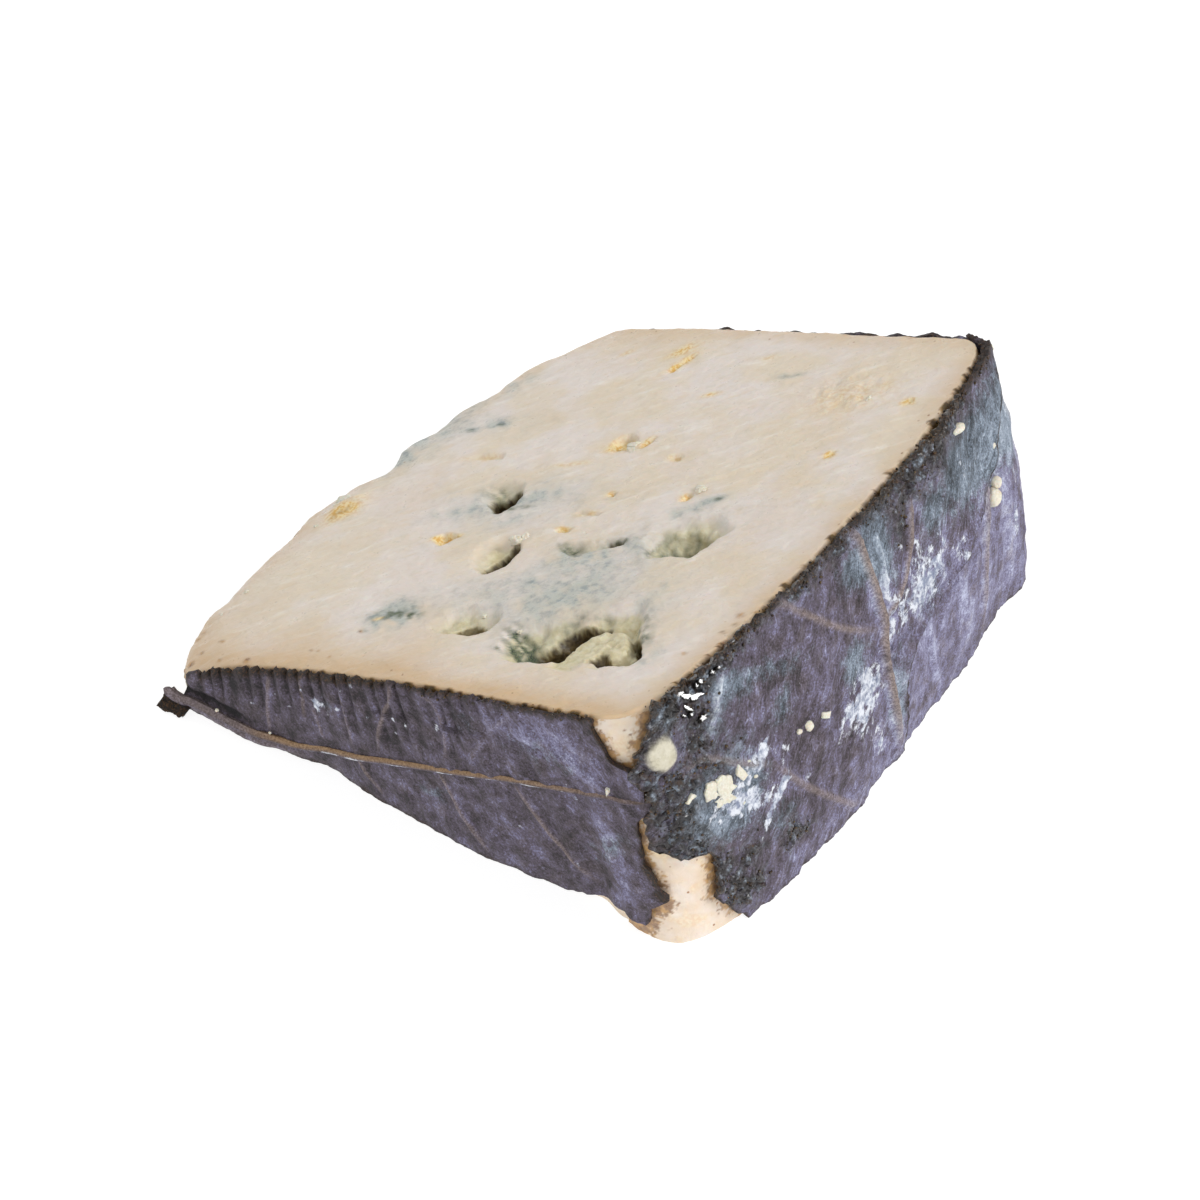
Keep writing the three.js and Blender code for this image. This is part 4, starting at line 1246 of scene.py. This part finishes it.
def grid(start, end, columns, rows, low=0.002, high=1):
    """Places on the rind, from where `start` to where `end` is at each share of the way up."""
    share, up = np.meshgrid(np.linspace(0, 1, columns), np.linspace(low, high, rows), indexing="ij")
    return mix(start(up), end(up), share), up


near_end = track([
    (0, 84.8), (0.1, 85.6), (0.19, 88), (0.24, 86.6), (0.42, 85.2), (0.56, 85.6), (0.66, 91.4), (0.76, 90.6),
    (0.83, 84), (1, 82.9)])
rim_start = track([
    (0, 99), (0.1, 95.8), (0.18, 93.4), (0.26, 94.3), (0.35, 94.2), (0.44, 88.4), (0.48, 87), (0.58, 86.6),
    (0.68, 88), (0.78, 86.8), (0.86, 88), (0.94, 89.6), (1, 91.5)])
rim_seam = track([
    (0, 139.6), (0.32, 139.8), (0.42, 142.5), (0.47, 152), (0.52, 162), (0.6, 169), (0.72, 176), (0.88, 182),
    (1, 185)])


def tatter(up, seed, reach):
    """How far a torn edge wanders."""
    return reach * rough(flat_points(up * 40, 0 * up), 3, seed, 4)


NEAR_NAP = -55, 1.3, 2.8, 0.35  # the near leaf's fibres, as leaf takes them
NO_TEAR = 9  # a distance from any torn end at which a leaf isn't frayed


def near_leaf(material):
    """The leaf on the near flat face: pleated along its upper edge, with its midrib and stalk."""
    end = lambda up: near_end(up) + tatter(up, 201, 0.7)
    along, up = grid(lambda up: -0.7 + 1.7 * up**3, end, 520, 84)
    up = up + 0.075 * (1 - up) ** 2 * smooth(along, 68, 82)
    flat = flat_points(along, 0 * along)
    phase = along / PLEAT_LENGTH + 0.7 * noise(flat, 6, 205) + 0.3 * noise(flat, 2.7, 203)
    strength = smooth(along, 84, 34) * (0.85 + 0.7 * np.clip(noise(flat, 2.6, 207), -0.8, 0.8))
    wave = np.sin(np.pi * phase) ** 2
    tooth = np.clip(np.abs(np.sin(np.pi * phase)) * 1.7, 0, 1) * strength
    tooth *= 0.85 + 0.5 * noise(flat, 2.2, 209)
    fold = PLEAT_DEPTH * wave * strength * smooth(up, 0.3, 1) + slack(along)
    ragged = 0.5 * rough(flat, 1.9, 211, 2) * smooth(along, 4, 40) + 0.05 * rough(flat, 0.7, 213)
    rise = (1.5 * tooth - 0.4 + ragged) * up**TOP_RISE + 1.2 * smooth(along, 5, -1) * up**6
    rise += FOOT_LIFT * (1 - up)
    line = rounded_line(MIDRIB)
    distance, _ = nearest(on_rind(along, up, LEAF_TOP), on_rind(line[:, 0], line[:, 1], LEAF_TOP))
    above = up > np.interp(along, line[:, 0], line[:, 1])
    recess = hill(distance, 1.5, 0.8) * above * smooth(along, 16, 8)  # behind the stalk
    draped = noise(flat_points(along + 7 * up, 4 * up), (5, 16, 1), 217) * smooth(along, 46, 72)
    off = LEAF_TOP + fold - 0.7 * recess + 0.8 * draped
    # Painted shade in the bottoms of the pleats, and painted shadow in the recess behind the stalk
    crease = 0.3 * (1 - wave) ** 3 * np.clip(strength, 0, 1) * smooth(up, 0.35, 0.8) + 0.6 * recess
    bloom = 0.2 + 0.1 * smooth(along, 26, 70) + 0.16 * draped
    bloom += 0.22 * noise(flat_points(along + 8 * up, 14 * up), (2.6, 12, 1), 215) * smooth(along, 50, 74)
    whole = leaf(
        along, up, off, rise, bloom, NEAR_NAP, end(up) - along, NEAR_VEINS, SPECKLES, NEAR_FILMS,
        crease=crease, edge=1.05)
    points, faces, marks = joined(whole, stalk(line), flap())
    return make("near_leaf", points, faces, material, marks, ["leaf_near"])


def joined(*parts):
    """One set of points, faces and marks from several."""
    points, faces = gather(*[part[:2] for part in parts])
    return points, faces, {key: np.concatenate([part[2][key] for part in parts]) for key in parts[0][2]}


flap_top = track([(0, 0.8), (0.5, 0.5), (1, 0.28)])
flap_foot = track([(0, 0.34), (0.3, 0.1), (0.55, 0.2), (0.8, 0.06), (1, 0.2)])


def flap():
    """A torn scrap of leaf that hangs from the tip of the stalk."""
    share, drop = np.meshgrid(np.linspace(0, 1, 40), np.linspace(0, 1, 30), indexing="ij")
    along = -3.3 + 4.4 * share - 0.5 * drop * (1 - share)
    up = np.clip(mix(flap_top(share), flap_foot(share) + tatter(share, 225, 0.05), drop), 0.03, 1)
    off = LEAF_TOP + 0.3 + 2.4 * drop + 0.5 * rough(flat_points(3 * share, 3 * drop), 1.1, 227)
    return leaf(along, up, off, 0 * up, 0 * up - 0.1, NEAR_NAP, NO_TEAR + 0 * up, (), edge=0)


STALK_SIDES = 14
STALK_STEPS = 150


def stalk(line):
    """The near leaf's stalk and midrib: a closed rod that thins and sinks into the leaf."""
    share = np.linspace(0, 1, STALK_STEPS)
    at = rounded_line(line, STALK_STEPS)
    sunk = smooth(share, 0.1, 0.4)
    thickness = mix(1.05, 0.34, np.sqrt(share)) * smooth(share, -0.012, 0.012)
    stand = LEAF_TOP + slack(at[:, 0]) + thickness * mix(0.6, -0.2, sunk)
    spine = on_rind(at[:, 0], at[:, 1], stand)
    ahead = unit(np.gradient(spine, axis=0))
    above = unit(np.cross(ahead, rind_normals(at[:, 0], np.clip(at[:, 1], 0.02, 0.98))))
    out = np.cross(above, ahead)
    angle = np.linspace(0, 2 * np.pi, STALK_SIDES, endpoint=False)
    ring = np.cos(angle)[None, :, None] * out[:, None] - np.sin(angle)[None, :, None] * above[:, None]
    groove = 1 + 0.12 * np.cos(5 * angle)[None] + 0.15 * noise(spine, 3, 221)[:, None]
    points = (spine[:, None] + ring * (thickness[:, None] * groove)[..., None]).reshape(-1, 3)
    index = np.arange(len(points)).reshape(STALK_STEPS, STALK_SIDES)
    wrapped = np.concatenate([index, index[:, :1]], axis=1)
    faces = grid_faces(wrapped).tolist() + [index[0].tolist(), index[-1, ::-1].tolist()]
    facing_up = np.broadcast_to(ring[..., 2], index.shape)
    along = np.broadcast_to(at[:, :1], index.shape)
    # Tan over the stalk's upward side and gold on its very top: the midrib's own tan, laid where the roll
    # faces up as painted highlight
    tan_and_highlight = smooth(facing_up, -0.5, 0.4) * mix(0.5, 0.8, smooth(along, 14, 26)) * smooth(along, 110, 60)
    gold = 0.75 * smooth(facing_up, -0.1, 0.6) * smooth(along, 8, 20) * smooth(along, 100, 50)
    white = 1.3 * smooth(facing_up, 0.15, -0.2) * smooth(facing_up, -0.9, -0.5) * smooth(along, 18, 27)
    white = white.ravel() * smooth(rough(points, 2, 223), -0.35, 0.25) * smooth(along.ravel(), 84, 60)
    zero = np.zeros(len(points))
    marks = {
        "bloom": zero + 0.25, "vein": tan_and_highlight.ravel(), "powder": white, "film": zero, "edge": zero, "damp": zero,
        "cream": zero, "gold": gold.ravel(), "hairy": zero + 0.3,
        "fibre": np.stack([points[:, 2] * 2, points[:, 0], zero], -1),
    }
    return points, faces, marks


def corner_knob(along, up):
    """1 where the rim's leaf bulges by the near corner, falling to 0 round it."""
    return hill(along, 94, 4.2) * smooth(up, 0.82, 0.97)


def rim_leaf(material):
    """The leaf on the near part of the rim, crumpled and powdery, with the strongest veins."""
    start = lambda up: rim_start(up) + tatter(up, 231, 0.9)
    end = lambda up: rim_seam(up) + 1.5 + tatter(up, 233, 0.8)
    along, up = grid(start, end, 290, 150)
    flat = flat_points(along, 0 * along)
    lifted = 0.5 * smooth(rim_seam(up) - along, 5, -1) + 0.25
    knob = corner_knob(along, up)
    off = LEAF_TOP + slow_wave(along) + lifted + 0.7 * knob
    jagged = 1.15 * rough(flat, 2.8, 237, 3) + 0.16 * rough(flat, 0.6, 239)
    rise = (0.45 + jagged) * up**TOP_RISE + 0.8 * knob * up**4 + FOOT_LIFT * (1 - up)
    wisps = noise(flat_points(along - 12 * up, 26 * up), (3, 9, 1), 241)
    bloom = 0.24 + 0.2 * wisps + 0.2 * smooth(along, 112, 150) * smooth(up, 0.95, 0.5) - 0.2 * knob
    bloom += 0.22 * smooth(up, 0.3, 0) - 0.3 * rind_patch(along, up, (147.6, 0.83), (2.4, 4), 0)
    nap, torn = (52, 1.3, 1.3, 0.65), np.minimum(along - start(up), end(up) - along)
    points, faces, marks = leaf(
        along, up, off, rise, bloom, nap, torn, RIM_VEINS, POWDERS, FILMS, DAMPS, CREAMS,
        edge=1.3, crumple=0.32)
    return make("rim_leaf", points, faces, material, marks, ["leaf_rim"])


def far_rim_leaf(material):
    """The next leaf on the rim, smoother and paler, tucked under the last."""
    along, up = grid(lambda up: rim_seam(up) - 5, lambda up: far_shoulder + 3.4 + 0 * up, 220, 130)
    flat = flat_points(along, 0 * along)
    off = LEAF_TOP + slow_wave(along) - 0.35 * smooth(rim_seam(up) - along, 0, 4)
    rise = (0.25 + 0.4 * rough(flat, 1.2, 247)) * up**TOP_RISE + FOOT_LIFT * (1 - up)
    wisps = noise(flat_points(along - 4 * up, 26 * up), (2.4, 14, 1), 243)
    bloom = 0.56 + 0.14 * wisps - 0.22 * smooth(up, 0.66, 1)
    nap, torn = (78, 1.3, 1.2, 0.32), NO_TEAR + 0 * up
    points, faces, marks = leaf(
        along, up, off, rise, bloom, nap, torn, FAR_RIM_VEINS, POWDERS, FILMS, DAMPS, edge=0.9, crumple=0.26)
    return make("far_rim_leaf", points, faces, material, marks, ["leaf_rim_far"])


# Where the far leaf's upper edge shows over the cheese: along, half width, height.
FAR_BUMPS = [
    (240, 2, 0.75), (233, 1, 0.4), (226, 3, 0.7), (212, 4, 0.85), (205, 2, 1), (198, 3.6, 1), (192.4, 2, 1),
]
FAR_FILMS = [
    ((205, 0.5), (9, 12), 0, 0.7), ((228, 0.7), (6, 5), 0, 0.6), ((246, 0.4), (6, 4), 0, 0.7),
]


def far_leaf(material):
    """The leaf on the far flat face, with its upper edge just under the cheese's except for a few bumps."""
    start = far_shoulder + 3
    along, up = grid(lambda up: start + 0 * up, lambda up: RIND_LENGTH - 1 + tatter(up, 251, 0.6), 240, 80)
    flat = flat_points(along, 0 * along)
    off = LEAF_TOP + slow_wave(along)
    bumps = sum(high * hill(along, at, wide) for at, wide, high in FAR_BUMPS)
    rise = (bumps - 1.6 + 0.4 * rough(flat, 2.6, 257)) * up**TOP_RISE + FOOT_LIFT * (1 - up)
    wisps = noise(flat_points(along + 8 * up, 24 * up), (3, 10, 1), 259)
    bloom = 0.24 + 0.28 * wisps + 0.2 * smooth(along, 230, 205)
    nap, torn = (125, 1.3, 2, 0.6), NO_TEAR + 0 * up
    points, faces, marks = leaf(along, up, off, rise, bloom, nap, torn, FAR_VEINS, films=FAR_FILMS, edge=0.9)
    return make("far_leaf", points, faces, material, marks, ["leaf_far"])


# ---------------------------------------------------------------- crumbs and grains

# Thin chips of paste on the rim, as outlines of (along, up).
CHIPS = [
    [(95.8, 0.63), (97, 0.62), (97.3, 0.6), (96.8, 0.58), (97.2, 0.56), (96.3, 0.56), (94.9, 0.57),
        (94.9, 0.6)],
    [(97.4, 0.62), (98.8, 0.62), (100, 0.6), (99.8, 0.57), (100.3, 0.55), (99.1, 0.54), (99.9, 0.51),
        (98.5, 0.51), (96.2, 0.52), (96.2, 0.55), (97.2, 0.55), (97.1, 0.59)],
    [(101.4, 0.63), (102.2, 0.59), (102.7, 0.56), (101.7, 0.55), (100.8, 0.59), (101.3, 0.61)],
    [(91.7, 0.62), (92.8, 0.64), (93.5, 0.62), (92.6, 0.62), (92, 0.61)],
    [(119.9, 0.54), (121.5, 0.52), (121, 0.5), (119.6, 0.52)],
    [(82.7, 0.72), (83.3, 0.72), (83.1, 0.7), (82.4, 0.68)],
]
CHIP_STEPS = 6  # points along each side of a chip's outline
CHIP_THICK = 0.34
CHIP_RINGS = (1, -0.4), (1, 0.6), (0.9, 0.95), (0.5, 1)  # shares of the outline and of the thickness


def chip(outline):
    """Points and faces of a thin uneven plate on the rim, with a rounded edge."""
    corners = np.array(outline)
    steps = np.linspace(0, 1, CHIP_STEPS, endpoint=False)[:, None]
    loop = np.concatenate([mix(a, b, steps) for a, b in zip(corners, np.roll(corners, -1, axis=0))])
    middle = loop.mean(axis=0)
    uneven = 1 + 0.16 * rough(on_rind(loop[:, 0], loop[:, 1]), 0.7, 341)[:, None]
    loop = middle + (loop - middle) * uneven
    rings = []
    for share, height in CHIP_RINGS:
        ring = mix(middle, loop, share)
        stand = LEAF_TOP + slow_wave(ring[:, 0]) + 0.35 + height * CHIP_THICK
        rings.append(on_rind(ring[:, 0], ring[:, 1], stand + 0.08 * rough(on_rind(*ring.T), 0.8, 343)))
    index = np.arange(len(rings) * len(loop)).reshape(len(rings), -1)
    faces = [wall_faces(lower, upper) for lower, upper in zip(index, index[1:])]
    faces = np.concatenate(faces)[:, ::-1].tolist() + [index[0, ::-1].tolist(), index[-1].tolist()]
    return np.concatenate(rings), faces


GRAIN_TRIES = 900  # along the upper edges, before some are left out
RIM_HEIGHT = 42  # about how high the rim's leaves are


def edge_grains(material):
    """Dark grains in the leaves' upper edges and in their wettest spots."""
    draw = np.random.default_rng(7)
    along = draw.uniform(40, 188, GRAIN_TRIES)
    some = draw.uniform(size=GRAIN_TRIES) < 0.3
    along = along[((along < 82) | (along > 91)) & ((along > 83) | some)]  # few on the near leaf
    count = len(along)
    up = 1 - np.abs(draw.normal(0, 0.012, count))
    stand = draw.uniform(0.1, LEAF_TOP + 0.5, count) + 0.6 * slow_wave(along)
    on_edge = on_rind(along, up, np.where(up < 0.985, LEAF_TOP + slow_wave(along) + 0.35, stand))
    on_edge[:, 2] += 0.2 + 0.3 * draw.uniform(size=count)
    spots, sizes = [on_edge], [0.08 + 0.17 * draw.uniform(size=count) ** 2.5]
    for at, size, _, strength in DAMPS:
        many = round(4 * size[0] * size[1] * strength)
        ahead = at[0] + size[0] * draw.normal(0, 0.55, many)
        share = np.clip(at[1] + size[1] * draw.normal(0, 0.5, many) / RIM_HEIGHT, 0.03, 1)
        on_leaf = ahead > rim_start(share) + 0.8
        ahead, share, many = ahead[on_leaf], share[on_leaf], on_leaf.sum()
        stand = LEAF_TOP + slow_wave(ahead) + 0.35 + 0.7 * corner_knob(ahead, share)
        spots.append(on_rind(ahead, share, stand + 0.1 * draw.uniform(size=many)))
        sizes.append(0.07 + 0.18 * draw.uniform(size=many) ** 2)
    spots, sizes = np.concatenate(spots), np.concatenate(sizes)
    frames = turned_frames(np.tile([0, 0, 1.0], (len(spots), 1)), draw.uniform(0, 6.3, len(spots)))
    sizes = sizes[:, None] * draw.uniform(0.7, 1.3, (len(spots), 3))
    points, faces = lumps(spots, frames, sizes, 2, 0.4, 301)
    return make("edge_grains", points, faces.tolist(), material, sharp=180)


GLINT = (22, 42)  # azimuth and elevation of the small sun, in degrees

# Wet flakes by the near corner, which catch the light: (along, up), half sizes in millimetres.
FLAKES = [
    ((96.5, 0.975), (0.75, 0.35)), ((96, 0.995), (0.5, 0.25)), ((98.2, 0.95), (0.4, 0.75)),
    ((96.2, 0.935), (0.7, 0.25)), ((101.9, 0.985), (0.35, 0.25)), ((99.7, 0.985), (0.25, 0.3)),
    ((97.9, 0.87), (0.3, 0.5)), ((95, 0.99), (0.3, 0.2)), ((96.4, 0.905), (0.2, 0.25)),
    ((103.2, 0.985), (0.2, 0.2)), ((95.2, 0.92), (0.22, 0.2)), ((98.8, 0.98), (0.2, 0.24)),
]
FLAKE_SIDES = 24
FLAKE_RINGS = (1.4, -1.6), (1.1, -0.25), (1, -0.03), (0.95, 0), (0.9, 0.001), (0.4, 0.005)  # share, height


def direction(azimuth, elevation):
    """The way to a light, from its azimuth and elevation in degrees."""
    azimuth, elevation = math.radians(azimuth), math.radians(elevation)
    flat = math.cos(elevation)
    return np.array([flat * math.cos(azimuth), flat * math.sin(azimuth), math.sin(elevation)])


def wet_flakes(material):
    """Small smooth plates whose flat tops mirror the small sun to the camera."""
    along, up = np.array([at for at, _ in FLAKES]).T
    stand = LEAF_TOP + slow_wave(along) + 1.5
    spots = on_rind(along, up, stand)
    tops = unit(unit(EYE - spots) + direction(*GLINT))  # halfway between the camera and the small sun
    frames = turned_frames(tops, np.radians(50 * np.arange(len(FLAKES))))
    angle = np.linspace(0, 2 * np.pi, FLAKE_SIDES, endpoint=False)
    parts = []
    for i, (spot, axes, (_, size)) in enumerate(zip(spots, frames, FLAKES)):
        around = np.stack([np.cos(angle), np.sin(angle), i + 0 * angle], -1)
        loop = around[:, :2] * (1 + 0.8 * rough(3 * around, 2.6, 347))[:, None] * np.multiply(1.25, size)
        rings = [spot + share * loop @ axes[:2] + height * axes[2] for share, height in FLAKE_RINGS]
        index = np.arange(len(rings) * FLAKE_SIDES).reshape(len(rings), -1)
        faces = np.concatenate([wall_faces(upper, lower) for lower, upper in zip(index, index[1:])])
        parts.append((np.concatenate(rings), faces.tolist() + [index[0, ::-1].tolist(), index[-1].tolist()]))
    points, faces = gather(*parts)
    return make("wet_flakes", points, faces, material, sharp=180)


# Crumbs on the rind: (along, up), half sizes in millimetres, turn in degrees.
RIND_CRUMBS = [
    ((117, 0.53), (0.9, 0.8, 0.5), 0), ((114.8, 0.54), (0.5, 0.45, 0.4), 0), ((175.2, 0.6), (1, 1, 0.9), 0),
    ((173.8, 0.56), (1.4, 1.7, 1.1), 0), ((168, 0.93), (0.75, 1.7, 1.15), 100),
    ((176.4, 0.73), (0.7, 0.8, 0.5), 0), ((186.6, 0.98), (0.8, 0.7, 0.9), 0),
    ((104.2, 0.53), (0.4, 0.3, 0.2), 0), ((100.9, 0.47), (0.5, 0.3, 0.25), 30),
    ((103.6, 0.6), (0.4, 0.25, 0.2), 0), ((6.4, 0.38), (0.3, 0.3, 0.3), 0),
    ((16, 0.26), (0.25, 0.25, 0.2), 0),
]
# Lumps on the upper face: (radius, Y), half sizes, turn, height.
TOP_LUMPS = [
    ((49.6, 38.8), (1.2, 0.8, 0.8), 70, 0.1), ((50.8, 40), (0.7, 0.6, 0.5), 0, 0),
    ((74.6, 55.6), (1, 1, 0.6), 0, 0), ((89.2, 82.2), (0.6, 0.55, 0.4), 0, 0),
    ((88.2, 80.4), (0.35, 0.3, 0.2), 0, 0), ((66.4, 17.4), (0.45, 0.45, 0.35), 0, -0.6),
    ((56.8, 20.6), (0.5, 0.4, 0.3), 0, -0.8), ((53.4, 66.2), (0.8, 0.9, 0.5), 0, -0.2),
    ((54, 64.9), (1.2, 0.7, 0.4), 30, -0.2), ((6.6, 47.4), (1.7, 1.1, 0.8), 65, -0.1),
    ((6.4, 45.8), (0.9, 0.8, 0.6), 20, 0), ((8, 48.6), (0.7, 0.6, 0.5), 0, -0.1),
    ((6, 40.2), (0.5, 0.4, 0.35), 30, -0.1), ((5.8, 22), (0.4, 0.5, 0.3), 0, -0.1),
    ((6, 15.4), (0.5, 0.4, 0.3), 0, -0.1), ((6.4, 35.6), (0.3, 0.4, 0.25), 0, -0.1),
]


def curds(material):
    """Cream crumbs and chips on the rind, and pale lumps in the upper face."""
    along, up = np.array([at for at, _, _ in RIND_CRUMBS]).T
    sizes = np.array([size for _, size, _ in RIND_CRUMBS])
    turns = np.radians([turn for _, _, turn in RIND_CRUMBS])
    spots = on_rind(along, up, LEAF_TOP + slow_wave(along) + 0.3 * (sizes[:, 2] < 1.2))
    on_leaf = lumps(spots, turned_frames(rind_normals(along, up), turns), sizes, 4, 0.22, 321)
    radius, y = np.array([at for at, _, _, _ in TOP_LUMPS]).T
    sizes = np.array([size for _, size, _, _ in TOP_LUMPS])
    turns = np.radians([turn for _, _, turn, _ in TOP_LUMPS])
    spots = on_top(radius, y, np.array([height for _, _, _, height in TOP_LUMPS]))
    on_paste = lumps(spots, turned_frames(np.tile(UPWARD, (len(radius), 1)), turns), sizes, 4, 0.5, 331)
    points, faces = gather(on_leaf, on_paste, *[chip(outline) for outline in CHIPS])
    return make("curds", points, faces, material, sharp=50)


# ---------------------------------------------------------------- the stage

FLOOR_REACH = 6  # metres to each side


def camera():
    """The camera at the photograph's angle, distance and lens."""
    across, ahead = math.cos(AZIMUTH), math.sin(AZIMUTH)
    right = np.array([across, ahead, 0])
    back = np.array([ahead * math.cos(ELEVATION), -across * math.cos(ELEVATION), math.sin(ELEVATION)])
    data = bpy.data.cameras.new("camera")
    data.lens = LENS
    data.sensor_width = SENSOR
    data.clip_start = 0.01
    seen_from = added("camera", data)
    axes = np.stack([right, np.cross(back, right), back], axis=1)
    seen_from.matrix_world = Matrix.Translation((EYE + WHEEL_ORIGIN) / 1000) @ Matrix(axes.tolist()).to_4x4()
    bpy.context.scene.camera = seen_from


def sun(name, strength, azimuth, elevation, softness):
    """A white light from far off. azimuth: from +X towards +Y, in degrees."""
    data = bpy.data.lights.new(name, "SUN")
    data.energy = strength
    data.angle = math.radians(softness)
    light = added(name, data)
    light.rotation_euler = (0, math.radians(90 - elevation), math.radians(azimuth))


def stage():
    """A glowing white floor, an even white sky, two soft lights and the small sun."""
    mesh = bpy.data.meshes.new("floor")
    corners = [(x * FLOOR_REACH, y * FLOOR_REACH, 0) for x, y in ((-1, -1), (1, -1), (1, 1), (-1, 1))]
    mesh.from_pydata(corners, [], [(0, 1, 2, 3)])
    mesh.materials.append(floor_material())
    added("floor", mesh)
    sun("key", 0.9, 25, 48, 20)
    sun("front", 0.6, -50, 28, 60)
    sun("glint", 0.42, *GLINT, 2)
    world = bpy.data.worlds.new("sky")
    world.use_nodes = True
    world.node_tree.nodes["Background"].inputs["Color"].default_value = (1, 1, 1, 1)
    world.node_tree.nodes["Background"].inputs["Strength"].default_value = 0.6
    bpy.context.scene.world = world
    bpy.context.scene.view_settings.view_transform = "Standard"


camera()
stage()
leaf_finish = leaf_material()
grain_finish = granule_material()
paste_finish = paste_material()
paste(paste_finish)
bare_rind(paste_finish)
near_leaf(leaf_finish)
rim_leaf(leaf_finish)
far_rim_leaf(leaf_finish)
far_leaf(leaf_finish)
edge_grains(grain_finish)
wet_flakes(wet_material())
curds(curd_material())
